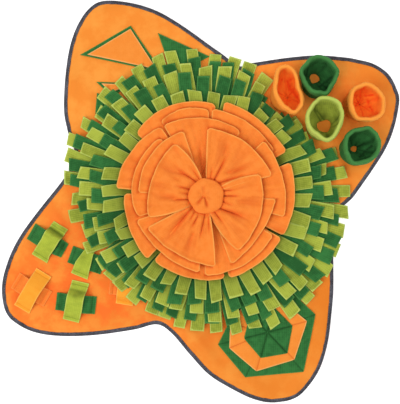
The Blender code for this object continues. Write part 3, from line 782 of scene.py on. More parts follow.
def buildPetal(name, tier, first, last, atFirst, atMiddle, atLast, rng):
    table = flower
    tierName = table["tiers"][tier]
    isTop = tierName == "top"
    seed = rng.uniform(0, 100)
    ruffle = [(rng.uniform(0.6, 1.0), rng.uniform(0, 6.28), n) for n in (2, 3, 5)]
    innerFirst, innerLast, rimFirst, rimLast, lapLift = table["sides"].get(name, (0, 0, 0, 0, 0))
    innerAt, rimAt = table["sideRadii"]
    wide = last - first

    def shareOf(v):  # sets the points closer together towards the sides
        return v - 0.075 * math.sin(2 * math.pi * v)

    def rimRadius(share):
        # A parabola through the three stated radii, with rounded corners and a slightly uneven cut.
        rim = (
            atFirst * (1 - share) * (1 - 2 * share)
            + atMiddle * 4 * share * (1 - share)
            + atLast * share * (2 * share - 1)
        )
        rim -= table["corner"] * max(0.0, 1 - min(share, 1 - share) / table["cornerShare"]) ** 2
        for size, waves, at in table["rimRoughness"]:
            rim += size * noiseAt(share * waves, seed, at)
        return rim

    def placeAt(u, share):
        radius = between(table["root"], rimRadius(share), u)
        inward = min(max((rimAt - radius) / (rimAt - innerAt), 0.0), 1.2)
        start = first + between(rimFirst, innerFirst, inward)
        end = last + between(rimLast, innerLast, inward)
        return polar(layout["flowerCentre"], radius, between(start, end, share)), radius

    def edgeDistance(radius, share):
        side = min(share, 1 - share) * math.radians(wide) * radius
        return min(rimRadius(share) - radius, side)

    def surface(u, v):
        share = shareOf(v)
        place, radius = placeAt(u, share)
        height = tierHeight(tier, radius)
        roll = table["edgeRoll"] * (1.0 if isTop else table["lowerRoll"])
        height += roll * ramp(edgeDistance(radius, share), table["rollWidth"], 0)
        height += lapLift * ramp(share, *table["lapShares"]) * ramp(radius, *table["lapRadii"])
        high, size = table["wave"]
        wave = noiseAt(place.x / size, place.y / size, 5.0)
        height += high * wave * ramp(radius, *table["waveRadii"])
        height -= creaseAt(tierName, place)[0] + table["streaks"][1] * streakAt(tier, place)
        if isTop:
            swell = ramp(radius, *table["swellRadii"]) * ramp(radius, *table["fallRadii"])
            sway = sum(a * math.sin(2 * math.pi * n * share + p) for a, p, n in ruffle)
            height += table["fullness"] * swell
            height += table["ruffle"] * sway * ramp(radius, *table["ruffleRadii"])
        else:
            pucker = math.sin(2 * math.pi * share * wide / table["puckerWidth"] + seed)
            pucker *= 0.5 + noiseAt(share * wide / 9, seed, 2.0)
            pucker *= smooth((rimRadius(share) - radius) / table["puckerEnd"])
            height += table["puckers"] * pucker * ramp(radius, *table["puckerRadii"])
        return Vector((*place, height))

    def clothAt(u, v):
        share = shareOf(v)
        radius = placeAt(u, share)[1]
        return (math.radians(wide) * radius * share, radius, edgeDistance(radius, share))

    # Painted shade in the creases and streaks, and outside a rim that lies above.
    def foldAt(u, v):
        place = placeAt(u, shareOf(v))[0]
        streak = table["streaks"][0] * max(0.0, 2 * streakAt(tier, place))
        return max(creaseAt(tierName, place)[1], table["rimShade"][1] * underRim(tier, place)) + streak

    outSteps, acrossSteps = table["topSteps"] if isTop else table["steps"]
    bm = startCloth()
    outward = [1 - (1 - t) ** 1.35 for t in evenly(outSteps)]
    addSheet(bm, outward, evenly(acrossSteps), surface, clothAt, foldAt)
    piece = finishPiece(
        name + "_cloth", bm, "orangeMicrofleece", layout["fleece"], bevel=0.7, follow=False)
    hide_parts(name)


def buildFlower():
    rng = random.Random(41)
    counts = dict.fromkeys(flower["tiers"], 0)
    for tierName, *shape in flower["petals"]:
        counts[tierName] += 1
        buildPetal(f"petal_{tierName}_{counts[tierName]}", flower["tiers"].index(tierName), *shape, rng)


button = {
    "radius": 30.5,
    "height": 12.0,
    "sink": 1.1,
    "squareness": 0.7,  # 1 for an ellipse, less for a fuller side
    "lobes": [(0.022, 5, 35), (0.011, 8, 80)],  # uneven outline: size, how many, turned by
    # Creases that gather to one place beside the middle: angle, depth, half width, reach.
    "gather": (-3.5, 1.5),
    "creases": [
        (232, 3.6, 3.4, 0.8), (286, 3.8, 3.0, 0.85), (205, 1.2, 4.2, 0.6), (330, 1.2, 4.4, 0.6),
        (96, 1.6, 5.0, 0.7), (150, 0.8, 4.8, 0.6), (30, 0.8, 5.2, 0.6), (260, 1.0, 3.0, 0.5),
    ],
    "creaseShade": 0.2,  # for each millimetre of depth
    "dimple": (1.8, 4.0),  # depth, size
    "unevenness": (0.7, 9.0),  # height, size
    "rings": 30,
    "columns": 120,
}


def buildButton():
    table = button
    root = onMat + len(flower["tiers"]) * (flower["gather"] + layout["gap"]) - table["sink"]
    dimple, dimpleSize = table["dimple"]
    uneven, unevenSize = table["unevenness"]
    bm = startCloth()
    rows = []
    for ring in range(1, 2 * table["rings"]):
        rise = -math.cos(math.pi * ring / (2 * table["rings"]))
        width = math.sqrt(1 - rise * rise) ** table["squareness"]
        row = []
        for column in range(table["columns"]):
            degrees = 360 * column / table["columns"]
            lobe = 1.0
            for size, count, turned in table["lobes"]:
                lobe -= size * math.cos(math.radians(count * degrees + turned))
            radius = table["radius"] * width * lobe
            height = root + table["height"] * (1 + rise) / 2
            place = polar((0, 0), radius, degrees)
            # Painted shade in the creases, by their depth.
            creaseAndShade = 0.0
            if rise > 0:
                out, heading = polarOf(table["gather"], place)
                share = out / table["radius"]
                for middle, depth, half, reach in table["creases"]:
                    away = math.radians(angleAway(heading, middle)) * out
                    fade = smooth(share / 0.12) * smooth((reach - share) / 0.35)
                    strength = fade * bell(away / (half * (0.3 + share)))
                    height -= depth * strength
                    creaseAndShade = max(creaseAndShade, table["creaseShade"] * depth * strength)
                height -= dimple * bell(out / dimpleSize)
                height += uneven * noiseAt(place.x / unevenSize, place.y / unevenSize, 1.0)
            place = polar(layout["flowerCentre"], radius, degrees)
            row.append(addVert(bm, (*place, height), (*place, farIn), creaseAndShade))
        rows.append(row)
    joinRows(bm, rows, closed=True)
    for row, height in ((rows[0], root), (rows[-1], rows[-1][0].co.z)):
        pole = addVert(bm, (*layout["flowerCentre"], height), (*layout["flowerCentre"], farIn))
        closeFan(bm, row, pole)
    piece = finishPiece("button_disc", bm, "orangeMicrofleece", follow=False)
    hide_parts("button")


buildFlower()
buildButton()
print("flower")

cups = {
    "height": 58.0,
    "baseRadius": 28.0,
    "cuff": 6.5,
    "sides": 128,
    # Profile once round the cloth: radius from the base radius, height, cuff (1) or wall (0), and how
    # far the crumpled bottom is drawn in to the hole that is left there.
    "profile": [
        (0.0, 0.0, 0, 0), (0.1, 8.0, 0, 0), (0.0, 18.0, 0, 0), (0.0, 28.0, 0, 0), (0.0, 36.0, 0, 0),
        (0.2, 41.0, 0, 0), (0.9, 41.6, 0.5, 0), (2.0, 41.4, 1, 0), (2.9, 42.4, 1, 0), (3.2, 45.0, 1, 0),
        (3.3, 48.5, 1, 0), (3.1, 52.0, 1, 0), (2.4, 55.0, 1, 0), (1.2, 57.2, 1, 0), (-0.6, 58.0, 1, 0),
        (-2.4, 57.3, 1, 0), (-3.7, 55.6, 0.8, 0), (-4.3, 53.0, 0.5, 0), (-4.5, 49.5, 0.3, 0),
        (-4.5, 46.0, 0.15, 0), (-4.4, 42.0, 0, 0), (-4.2, 38.0, 0, 0), (-4.0, 34.0, 0, 0),
        (-4.0, 30.0, 0, 0.03), (-4.0, 26.0, 0, 0.1), (-4.0, 22.0, 0, 0.2), (-4.0, 18.5, 0, 0.33),
        (-4.0, 15.0, 0, 0.48), (-4.0, 12.0, 0, 0.62), (-4.0, 9.5, 0, 0.75), (-4.0, 7.5, 0, 0.86),
        (-4.0, 5.5, 0, 0.95), (-4.0, 3.5, 0, 1.0), (-4.0, 0.0, 0, 1.0),
    ],
    "cups": [  # name, finish, base x, base y, rim x, rim y, rim width, rim length, heading, pinch
        ("cup_1_orange", "orangeCupFleece", 151, 186, 150, 190, 50, 84, 104, 0.12),
        ("cup_2_green", "greenMicrofleece", 206, 209, 201, 214, 62, 69, 100, 0.04),
        ("cup_3_lime", "limeMicrofleece", 214, 136, 210, 140, 66, 75, 80, 0.02),
        ("cup_4_orange", "orangeCupFleece", 279, 170, 281, 168, 61, 67, 100, 0.0),
        ("cup_5_green", "greenMicrofleece", 273, 92, 273, 96, 62, 67, 60, 0.03),
    ],
    # The hole left in the crumpled bottom: its middle from the base's, its radius, how uneven it is.
    "bottoms": {
        "cup_1_orange": (2, -3, 1.0, 0.0), "cup_2_green": (-6, 8, 8.5, 0.5),
        "cup_3_lime": (4, -3, 11.5, 0.4), "cup_4_orange": (1, 1, 1.0, 0.0),
        "cup_5_green": (-3, 2, 5.0, 0.6),
    },
    # How the soft rim strays from its oval: angle, outward, half width in degrees.
    "dents": {
        "cup_1_orange": [(15, -3, 30), (200, 1, 30), (285, 2, 22), (125, 1, 18)],
        "cup_2_green": [(320, -3, 24), (290, 3, 14), (60, -2, 25), (172, 4.0, 16), (10, 3, 16)],
        "cup_3_lime": [(285, 2.6, 24), (235, -3.5, 28), (335, -2, 26), (110, 1.5, 30), (45, 2.5, 18)],
        "cup_4_orange": [(235, 3.0, 22), (60, -1.5, 30), (322, 2.2, 20), (145, 2.0, 18)],
        "cup_5_green": [(240, 3.5, 20), (20, -2, 22), (100, -1.5, 24), (330, 2.5, 18), (150, 2, 18)],
    },
    # Creases down the inside: angle, depth, half width in degrees.
    "folds": {
        "cup_1_orange": [(40, 5.0, 9), (330, 4.0, 7), (168, 4.5, 6), (262, 4.0, 8), (100, 3.0, 8)],
        "cup_2_green": [(165, 5.0, 6), (318, 5.5, 7), (292, 3.5, 5), (60, 3.5, 10), (345, 3.0, 6)],
        "cup_3_lime": [(128, 5.5, 6), (285, 3.5, 8), (200, 3.0, 12), (15, 4.0, 7), (350, 3.0, 6)],
        "cup_4_orange": [(95, 3.5, 8), (165, 4.5, 6), (275, 5.5, 5), (320, 4.0, 7), (20, 3.5, 8)],
        "cup_5_green": [(340, 5.0, 6), (310, 4.0, 5), (25, 4.0, 8), (130, 4.0, 7), (220, 4.0, 6)],
    },
    # Creases across the crumpled bottom, from the base's middle: start, end, depth, half width.
    "creases": {
        "cup_1_orange": [((-14, 25), (7, 25), 2.0, 1.8), ((0, 23), (20, -9), 4.0, 3.2)],
        "cup_2_green": [((-21, 29), (-22, 7), 3.0, 2.5), ((27, 11), (2, -8), 3.0, 2.5)],
        "cup_3_lime": [((-13, 22), (0, 12), 3.0, 2.0), ((0, 12), (14, -1), 3.5, 2.2)],
        "cup_4_orange": [((-16, 15), (22, 14), 3.0, 1.8), ((12, 9), (19, -13), 3.0, 1.8),
                         ((-7, 10), (1, 0), 2.0, 1.5), ((2, 9), (-8, -3), 2.0, 1.5)],
        "cup_5_green": [((28, 10), (4, -14), 3.0, 2.2), ((-3, 1), (13, 10), 2.5, 2.0)],
    },
    "foldHeights": (55, 35),  # where on the inside the folds are nothing, then whole
    "foldShade": (0.1, 0.11),  # shade of the inside, and what each millimetre of fold adds
    "ripple": (1.3, 0.8),  # broad and fine unevenness of the wall
    "rippleHeight": 30.0,
    "rimWave": 3.2,
    "crumple": 5.0,
    "crumpleShade": 0.7,
    "settles": 20.0,  # height up to which the wall follows the mat
    "cuffTurn": 18.0,  # doubled cloth that is turned out once more at the cuff
    "bottomShare": 1.1,  # area of one layer with its bottom, as a share of its wall alone
}


def bumpsRound(rows, degrees):
    return [size * bell(angleAway(degrees, middle) / half) for middle, size, half in rows]


def buildCup(name, finish, baseX, baseY, rimX, rimY, width, length, heading, pinch):
    table = cups
    outer, roll = table["baseRadius"], table["cuff"] / 2
    turn = math.radians(heading)
    seed = 7.0 * len(name) + baseX
    rest = settle(baseX, baseY)
    holeX, holeY, holeRadius, uneven = table["bottoms"][name]
    broad, fine = table["ripple"]
    insideShade, foldShade = table["foldShade"]
    bm = startCloth()
    rows = []
    travelled = 0.0
    last = table["profile"][0]
    for radiusOff, z, cuff, drawn in table["profile"]:
        travelled += math.hypot(radiusOff - last[0], z - last[1])
        last = (radiusOff, z)
        share = smooth(z / table["height"])
        radius = outer + radiusOff
        longWay = radius + share * (length / 2 - outer - roll)
        shortWay = radius + share * (width / 2 - outer - roll)
        folded = ramp(z, *table["foldHeights"]) if radiusOff < -2 else 0.0  # the outside has no folds
        toEdge = 2.2 - 1.1 * cuff if cuff else farIn  # the cuff gets the painted highlight of a cut edge
        row = []
        for column in range(table["sides"]):
            degrees = 360 * column / table["sides"]
            angle = math.radians(degrees) - turn
            folds = bumpsRound(table["folds"][name], degrees)
            stray = share * sum(bumpsRound(table["dents"][name], degrees))
            stray += sum(folds) * folded * (1 - drawn)
            # Painted shade: the inside is darkened, more in its folds.
            creaseAndShade = (insideShade + foldShade * max(folds)) * folded
            ripple = Vector((*direction(degrees), z / table["rippleHeight"]))
            stray += broad * noise.noise(ripple * 2.0 + Vector((seed, 0, 0))) * (0.4 + share)
            stray += fine * noise.noise(ripple * 4.5 + Vector((seed, 9, 0)))
            along, across = (longWay + stray) * math.cos(angle), (shortWay + stray) * math.sin(angle)
            dent = pinch * share * outer * max(0.0, -math.sin(angle)) ** 2
            across += dent * smooth(1 - abs(along) / (length / 2))
            x = between(baseX, rimX, share) + along * math.cos(turn) - across * math.sin(turn)
            y = between(baseY, rimY, share) + along * math.sin(turn) + across * math.cos(turn)
            torn = holeRadius * (1 + uneven * noise.noise(ripple.xy.to_3d() * 0.7 + Vector((0, seed, 5.0))))
            x = between(x, baseX + holeX + torn * ripple.x, drawn)
            y = between(y, baseY + holeY + torn * ripple.y, drawn)
            wave = noise.noise(ripple.xy.to_3d() * 1.1 + Vector((seed, 3.0, 0)))
            lift = between(settle(x, y), rest, smooth(z / table["settles"]))
            lift += table["rimWave"] * share**3 * wave
            # The crumpled bottom rises and sinks, and its hollows and creases get painted shade.
            if 0 < drawn < 1:
                ridge = noiseAt(ripple.x * 1.5, ripple.y * 1.5, seed + 2.2 * drawn)
                lift += table["crumple"] * (ridge + 0.25) * math.sin(math.pi * drawn) ** 0.7
                creaseAndShade += max(0.0, -table["crumpleShade"] * ridge)
                for start, end, deep, half in table["creases"][name]:
                    aside = alongLine(Vector((x - baseX, y - baseY)), Vector(start), Vector(end))[1]
                    lift -= deep * bell(aside / half)
                    creaseAndShade = max(creaseAndShade, 0.9 * bell(aside / half))
            cloth = (radius * math.radians(degrees), travelled, toEdge)
            row.append(addVert(bm, (x, y, onMat + z + max(lift, 0.3 - z)), cloth, creaseAndShade))
        rows.append(row)
    joinRows(bm, [*rows, rows[0]], closed=True)
    piece = finishPiece(name + "_tube", bm, finish, follow=False)
    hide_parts(name)


for cup in cups["cups"]:
    buildCup(*cup)
print("cups")

straps = {
    "width": 31.0,
    "tab": 8.0,  # length of each sewn-down end
    "flatness": 4,  # 2 for a round arch, more for a flat top
    "softening": (-0.03, -0.015, 0, 0.015, 0.03),  # shares about a place that an arch is read at
    "seam": 6.5,  # from a strap's end to its line of stitches
    "seamDent": (0.9, 1.0),  # depth and half width of the groove there
    "seamShade": (0.45, 0.9),  # strength and half width of its shade
    "wave": 0.9,
    "steps": (14, 64),  # across and along
    "straps": [  # name, x, y, heading, length, rise, finish
        ("strap_1_under", -267.5, -68.3, -29.6, 69, 6.5, "greenMicrofleece"),
        ("strap_1_over", -263.5, -70, 57.8, 70, 15, "limeStrapFleece"),
        ("strap_2_under", -296, -154, -30, 66, 6.5, "orangeStrapFleece"),
        ("strap_2_over", -293.5, -156, 58.6, 76, 15, "yellowMicrofleece"),
        ("strap_3_under", -218, -178, -6.2, 70, 6, "greenMicrofleece"),
        ("strap_3_over", -218, -174.5, 76.4, 71, 15, "limeStrapFleece"),
        ("strap_4_under", -199.2, -102.3, -20, 62, 3, "greenMicrofleece"),
        ("strap_4_over", -199.5, -102, 66, 62, 9, "limeStrapFleece"),
        ("strap_5_under", -126, -149.5, -5, 66, 3, "orangeStrapFleece"),
        ("strap_5_over", -128, -148, 81, 66, 9, "yellowMicrofleece"),
    ],
    # Arches that differ from the plain one: share along the strap, share of its rise.
    "arches": {
        "strap_1_over": [(0, 0), (0.08, 0.02), (0.3, 0.55), (0.52, 0.92), (0.66, 1.1), (0.71, 1.05),
                         (0.8, 0.1), (0.83, 0.05), (0.89, 0.4), (0.93, 0.3), (0.96, 0), (1, 0)],
        "strap_2_over": [(0, 0), (0.07, 0.02), (0.25, 0.6), (0.45, 0.86), (0.6, 0.84), (0.8, 0.5),
                         (0.93, 0.1), (1, 0)],
        "strap_3_over": [(0, 0), (0.08, 0.02), (0.28, 0.6), (0.48, 0.95), (0.58, 1.1), (0.66, 1.05),
                         (0.8, 0.3), (0.92, 0.06), (1, 0)],
    },
    # Hollows painted with shade: shares along and across, amount, half length, half width.
    "shadedHollows": {
        "strap_1_over": [(0.79, 0.5, 0.75, 0.05, 2.0)],
        "strap_3_over": [(0.76, 0.5, 0.4, 0.035, 1.2), (0.7, 0.3, 0.4, 0.05, 0.25),
                         (0.65, 0.55, 0.4, 0.04, 0.16)],
        "strap_1_under": [(0.76, 0.5, 0.4, 0.05, 0.6), (0.9, 0.75, 0.5, 0.1, 0.15)],
        "strap_3_under": [(0.15, 0.5, 0.4, 0.04, 0.6)],
        "strap_4_over": [(0.55, 0.8, 0.3, 0.12, 0.2)],
    },
    # Bumps of the cloth: shares along and across, height, half length, half width.
    "bumps": {
        "strap_1_over": [(0.05, 0.9, 1.6, 0.1, 0.3), (0.68, 0.3, 1.5, 0.06, 0.4)],
        "strap_2_over": [(0.6, 0.5, 0.8, 0.2, 1.0), (0.3, 0.2, 0.6, 0.2, 0.5)],
        "strap_3_over": [(0.56, 0.5, 3.0, 0.07, 0.2), (0.74, 0.75, -2.5, 0.08, 0.25),
                         (0.2, 0.6, 0.8, 0.2, 0.5)],
        "strap_4_over": [(0.45, 0.8, 3.0, 0.2, 0.3), (0.8, 0.5, 2.5, 0.1, 0.5),
                         (0.6, 0.3, -1.5, 0.1, 0.3)],
        "strap_1_under": [(0.85, 0.4, 3.0, 0.07, 0.5), (0.72, 0.3, -2.0, 0.06, 0.4),
                          (0.12, 0.5, 2.5, 0.05, 0.6), (0.9, 0.4, 3.5, 0.1, 0.16)],
        "strap_3_under": [(0.1, 0.6, 2.0, 0.05, 0.5), (0.86, 0.5, 2.2, 0.05, 0.5)],
    },
    # Uneven sides where a strap is drawn in or twisted: share along it, left side in, right side in.
    "drawnIn": {
        "strap_1_over": [(0, 0, 0), (0.2, 0, 2.4), (0.45, 1.5, 0.5), (0.75, 0.5, 0), (1, 2.0, 0)],
        "strap_2_over": [(0, 0, 0), (0.5, 1.2, 0.8), (1, 0, 0)],
        "strap_3_over": [(0, 0, 1.5), (0.3, 0.6, 0), (0.7, 0, 1.4), (1, 0, 0)],
        "strap_4_over": [(0, 0, 0), (0.35, 0.5, 3.0), (0.7, 5.0, 7.5), (1, 7.5, 9.0)],
        "strap_1_under": [(0, 0, 0), (0.8, 0, 0), (1, 2.5, 1.0)],
    },
}


def bumpsAt(rows, u, v):
    return sum(
        size * bell(math.hypot((u - along) / longHalf, (v - across) / wideHalf))
        for along, across, size, longHalf, wideHalf in rows
    )


def buildStrap(name, x, y, heading, length, rise, finish):
    table = straps
    along = direction(heading)
    across = leftOf(along)
    halfSpan = length / 2 - table["tab"]
    drawnIn = table["drawnIn"].get(name, [(0, 0, 0), (1, 0, 0)])
    left = [(at, inward) for at, inward, _ in drawnIn]
    right = [(at, inward) for at, _, inward in drawnIn]
    seed = x * 0.37 + y * 0.11

    def seamAt(u, depthAndWidth):
        fromEnd = min(u, 1 - u) * length
        return depthAndWidth[0] * bell((fromEnd - table["seam"]) / depthAndWidth[1])

    def height(distance, u, v):
        share = min(abs(distance) / halfSpan, 1.0)
        reach = 1 - share ** table["flatness"]
        arch = table["arches"].get(name)
        if arch:
            reads = [readTable(arch, min(max(u + off, 0.0), 1.0)) for off in table["softening"]]
            reach = sum(reads) / len(reads)
        level = onMat + layout["fleece"] / 2 + rise * reach + bumpsAt(table["bumps"].get(name, []), u, v)
        wave = noiseAt(u * 2.2, v * 1.2, seed)
        return level - seamAt(u, table["seamDent"]) + table["wave"] * wave * (1 - share)

    def surface(v, u):
        distance = between(-length / 2, length / 2, u)
        half = table["width"] / 2
        side = between(-half + readTable(right, u), half - readTable(left, u), v)
        place = Vector((x, y)) + along * distance + across * side
        return Vector((*place, height(distance, u, v)))

    def clothAt(v, u):
        toEdge = min(min(v, 1 - v) * table["width"], min(u, 1 - u) * length)
        return (v * table["width"], u * length, toEdge)

    # Painted shade at the seams and in the hollows.
    def foldAt(v, u):
        return seamAt(u, table["seamShade"]) + bumpsAt(table["shadedHollows"].get(name, []), u, v)

    bm = startCloth()
    acrossSteps, alongSteps = table["steps"]
    addSheet(bm, evenly(acrossSteps), evenly(alongSteps), surface, clothAt, foldAt)
    piece = finishPiece(name + "_cloth", bm, finish, layout["fleece"], bevel=0.5)
    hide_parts(name)
    # Heights along the middle of the arch.
    steps = [height(between(-length / 2, length / 2, t), t, 0.5) for t in evenly(40)]


for strap in straps["straps"]:
    buildStrap(*strap)
print("straps")

flaps = {
    "flaps": [  # name, finish, underside, corners anticlockwise
        ("flap_1_under", "greenMicrofleece", onMat, [(-211, 259), (-66, 228), (-122, 310)]),
        ("flap_1_over", "orangeFlapFleece", secondLayer, [(-198, 259), (-76, 233), (-122, 304)]),
        ("flap_2", "greenMicrofleece", onMat, [(-74, 297), (-48, 223), (17, 256)]),
        ("flap_3_under", "greenMicrofleece", onMat, [(-182, 211), (-155, 185), (-116, 209)]),
        ("flap_3_over", "orangeFlapFleece", secondLayer, [(-173, 208), (-155, 191), (-128, 206)]),
        ("flap_4", "greenMicrofleece", onMat, [(-181, 192), (-184, 155), (-136, 168)]),
    ],
    "rings": [0.0, 1.2, 2.6, 5.0, 9.0, 14.0, 20.0],  # insets of the rings of points in a flat piece
    "ringsTo": 0.9,  # share of the way to its middle that they may take
    "sideStep": 5.0,
    "crown": (0.7, 8.0),  # how far the middle stands above the sewn edges, and over what width it rises
    "unevenness": (0.35, 16.0),
    "leastShare": 0.301,  # a sheet's area has to be at least this share of its flat size
}
patches = {
    "centre": (118.6, -228.0),
    "patches": [  # name, finish, underside, (angle, radius) of each corner
        ("patch_1_green", "greenMicrofleece", onMat,
         [(19.6, 90), (72, 88), (128, 76), (195, 90), (244, 89), (312, 95)]),
        ("patch_2_orange", "orangeFlapFleece", secondLayer,
         [(15, 72), (78, 66), (125, 66), (168, 67), (203, 73), (254, 72), (314, 68)]),
    ],
    "rings": [0, 1.2, 2.6, 4.5, 7, 10, 14, 18, 22, 26, 30, 35, 40, 46, 52, 58],
    "ringsTo": 0.95,
    "sideStep": 2.2,
    "seamDepth": 1.3,  # creases from the middle to each corner
    "seamWidth": 2.0,
}
hexagon = {
    "corners": [(14, 45), (75, 45), (135, 44), (195, 43), (255, 47), (313, 51)],  # angle, radius
    "steps": 22,  # rows of points from the middle to the rim, and points along each side
    "reach": 40.0,  # from the middle to about the middle of a side
    "puff": 2.2,  # how far each triangle swells up, and over what width from a crease and the rim
    "puffWidth": 7.0,
    "rimWidth": 8.0,
    "rounding": (0.7, 3.0),  # depth and width of the rounded rim
    "crease": (1.4, 1.5),  # depth and half width
    "creaseShade": 0.6,
    "hubDepth": 0.5,
}


def sidePoints(corners, step):
    points = []
    for a, b in zip(corners, corners[1:] + corners[:1]):
        a, b = Vector(a), Vector(b)
        count = max(2, round((b - a).length / step))
        points += [a.lerp(b, i / count) for i in range(count)]
    return points


def toSides(place, corners):
    return min(
        abs((Vector(b) - Vector(a)).normalized().cross(place - Vector(a))) for a, b in sidesOf(corners)
    )


def buildFlat(name, finish, underside, corners, seams=()):
    # A polygon of cloth with rings of points from its cut edge to its middle.
    table = patches if seams else flaps
    outer = sidePoints(corners, table["sideStep"])
    middle = sum((Vector(c) for c in corners), Vector((0, 0))) / len(corners)
    if seams:
        middle = Vector(patches["centre"])
    reach = toSides(middle, corners)
    insets = [ring for ring in table["rings"] if ring < reach * table["ringsTo"]]
    level = underside + layout["fleece"] / 2
    crown, crownWidth = flaps["crown"]
    uneven, unevenSize = flaps["unevenness"]
    bm = startCloth()

    def addPoint(place):
        toEdge = toSides(place, corners)
        height = level + crown * smooth(toEdge / crownWidth)
        creaseAndShade = 0.0
        away = place - middle
        # Each seam is a groove with painted shade in it.
        for ray in seams:
            if away.dot(ray) > 0:
                groove = abs(away.cross(ray)) / patches["seamWidth"]
                height -= patches["seamDepth"] * bell(groove)
                creaseAndShade = max(creaseAndShade, 0.6 * bell(1.6 * groove))
        height += uneven * noiseAt(place.x / unevenSize, place.y / unevenSize, level)
        return addVert(bm, (*place, height), (place.x, place.y, toEdge), creaseAndShade)

    rows = [[addPoint(p.lerp(middle, inset / reach)) for p in outer] for inset in insets]
    joinRows(bm, rows, closed=True)
    closeFan(bm, rows[-1], addPoint(middle))
    piece = finishPiece(name + "_cloth", bm, finish, layout["fleece"], bevel=0.4)
    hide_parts(name)


def buildHexagon():
    # Six puffed triangles that meet in creases, cut from one layer.
    table = hexagon
    centre = Vector(patches["centre"])
    rim = [polar(patches["centre"], radius, degrees) for degrees, radius in table["corners"]]
    top = thirdLayer + layout["fleece"]
    steps = table["steps"]
    rounding, roundingWidth = table["rounding"]
    creaseDepth, creaseHalf = table["crease"]
    bm = startCloth()
    rows = []
    for ring in range(1, steps + 1):
        share = ring / steps
        toEdge = (1 - share) * table["reach"]
        row = []
        for a, b in sidesOf(rim[-1:] + rim[:-1]):
            for column in range(steps):
                place = centre.lerp(a.lerp(b, column / steps), share)
                toCrease = min(column, steps - column) / steps * share * (b - a).length
                puff = smooth(toCrease / table["puffWidth"]) * smooth((toEdge + 2) / table["rimWidth"])
                # The crease sinks the cloth and is painted with shade.
                creaseAndShade = bell(toCrease / creaseHalf)
                height = top + table["puff"] * puff - creaseDepth * creaseAndShade
                height -= rounding * (1 - smooth(toEdge / roundingWidth))
                cloth = (place.x, place.y, min(toEdge, farIn))
                row.append(addVert(bm, (*place, height), cloth, table["creaseShade"] * creaseAndShade))
        rows.append(row)
    hub = addVert(bm, (*centre, top - table["hubDepth"]), (*centre, farIn))
    base = addVert(bm, (*centre, thirdLayer), (*centre, farIn))
    lower = [addVert(bm, (*v.co.xy, thirdLayer), (*v.co.xy, 0.0)) for v in rows[-1]]
    joinRows(bm, [*rows, lower], closed=True)
    closeFan(bm, rows[0], hub)
    closeFan(bm, lower, base)
    piece = finishPiece("patch_3_hexagon_cloth", bm, "greenMicrofleece")
    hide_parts("patch_3_hexagon")


for name, finish, underside, corners in flaps["flaps"]:
    buildFlat(name, finish, underside, corners)
for name, finish, underside, corners in patches["patches"]:
    places = [tuple(polar(patches["centre"], radius, degrees)) for degrees, radius in corners]
    buildFlat(name, finish, underside, places, [direction(degrees) for degrees, _ in corners])
buildHexagon()
print("flaps and patches")

fringe = {
    "centre": (10.3, 13.0),
    "stripWidth": 22.4,
    "band": 8.0,
    "splay": 0.45,  # how far a strip's heading strays, as a share of the step between strips
    "stray": 6.0,
    "curl": 0.4,
    "leastSegment": 3.0,
    "rings": [  # name, finish, strips, (radius, height of the strip's middle), free length of tip
        ("fringe_1_lime", "limeMicrofleece", 46, [(170, 3.3), (190, 6.0), (252, 6.0)], 16),
        ("fringe_2_green", "greenMicrofleece", 41, [(152, 3.3), (170, 7.8), (190, 9.4), (238, 9.3)], 16),
        ("fringe_3_lime", "limeMicrofleece", 41, [(152, 5.9), (170, 11.1), (190, 12.9), (223, 12.8)], 17),
        ("fringe_4_green", "greenMicrofleece", 36,
         [(133, 3.3), (152, 12.8), (170, 14.4), (190, 16.3), (208, 16.3)], 24),
        ("fringe_5_lime", "limeMicrofleece", 36, [(133, 6.0), (152, 16.6), (170, 18.2), (184, 18.9)], 20),
    ],
    "reach": [  # angle, radius of the outermost tips there
        (0, 250), (30, 245), (60, 238), (90, 254), (120, 256), (135, 252), (143, 243),
        (155, 260), (170, 253), (180, 241), (192, 233), (200, 222), (206, 229), (221, 222),
        (240, 224), (252, 227), (270, 241), (300, 256), (330, 260), (345, 255), (360, 250),
    ],
    "fullReach": 252.0,
    "lifts": [(112, 134, 3.0), (205, 232, 9.2), (284, 304, 6.5)],
    "liftFade": 36.0,
    "liftFrom": 170.0,
    "liftFull": 190.0,
    "cupClearance": 33.0,
    # What the scene adds to the solid's strips, each at random up to these.
    "widthStray": 1.8,
    "skew": 0.22,  # slant of the cut tips
    "bow": 4.5,  # sideways bend of the tips
    "camber": 0.9,
    "ripple": 0.5,
    "tipLift": 5.0,
    "tipZone": 9.0,  # length of the tip that lifts and twists
    "twist": 7.0,  # degrees
    "tone": 0.45,
    "greenTone": 0.3,  # how much deeper the green strips' tones lie, in the shade of the lime ones
    "unruly": (150, 235, 2.2),  # angles between which the strips lie rougher, and how many times as rough
    "rootShade": (0.6, 62.0),  # shade at a strip's root, under the others, and how far out it reaches
    "segment": 5.5,  # length between a strip's rows of points
    "columns": [-1.0, -0.84, -0.5, 0.0, 0.5, 0.84, 1.0],
}


def fringeLift(place):
    # Height by which the fringe climbs over the straps, flaps and patches beneath it.
    radius, degrees = polarOf(fringe["centre"], place)
    rise = max(
        height * smooth(1 - max(first - degrees, degrees - last) / fringe["liftFade"])
        for first, last, height in fringe["lifts"]
    )
    share = (radius - fringe["liftFrom"]) / (fringe["liftFull"] - fringe["liftFrom"])
    return rise * min(max(share, 0.0), 1.0)


def clearOfCups(start, out, length):
    # The length at which a strip from start still ends short of each cup.
    for _, _, baseX, baseY, *_ in cups["cups"]:
        toCup = Vector((baseX, baseY)) - start
        ahead = toCup.dot(out)
        aside = max(abs(toCup.x * out.y - toCup.y * out.x) - fringe["stripWidth"] / 2, 0.0)
        if ahead > 0 and aside < fringe["cupClearance"]:
            length = min(length, ahead - math.sqrt(fringe["cupClearance"] ** 2 - aside**2))
    return length


def straying(source, key):
    return source.uniform(-fringe[key], fringe[key])


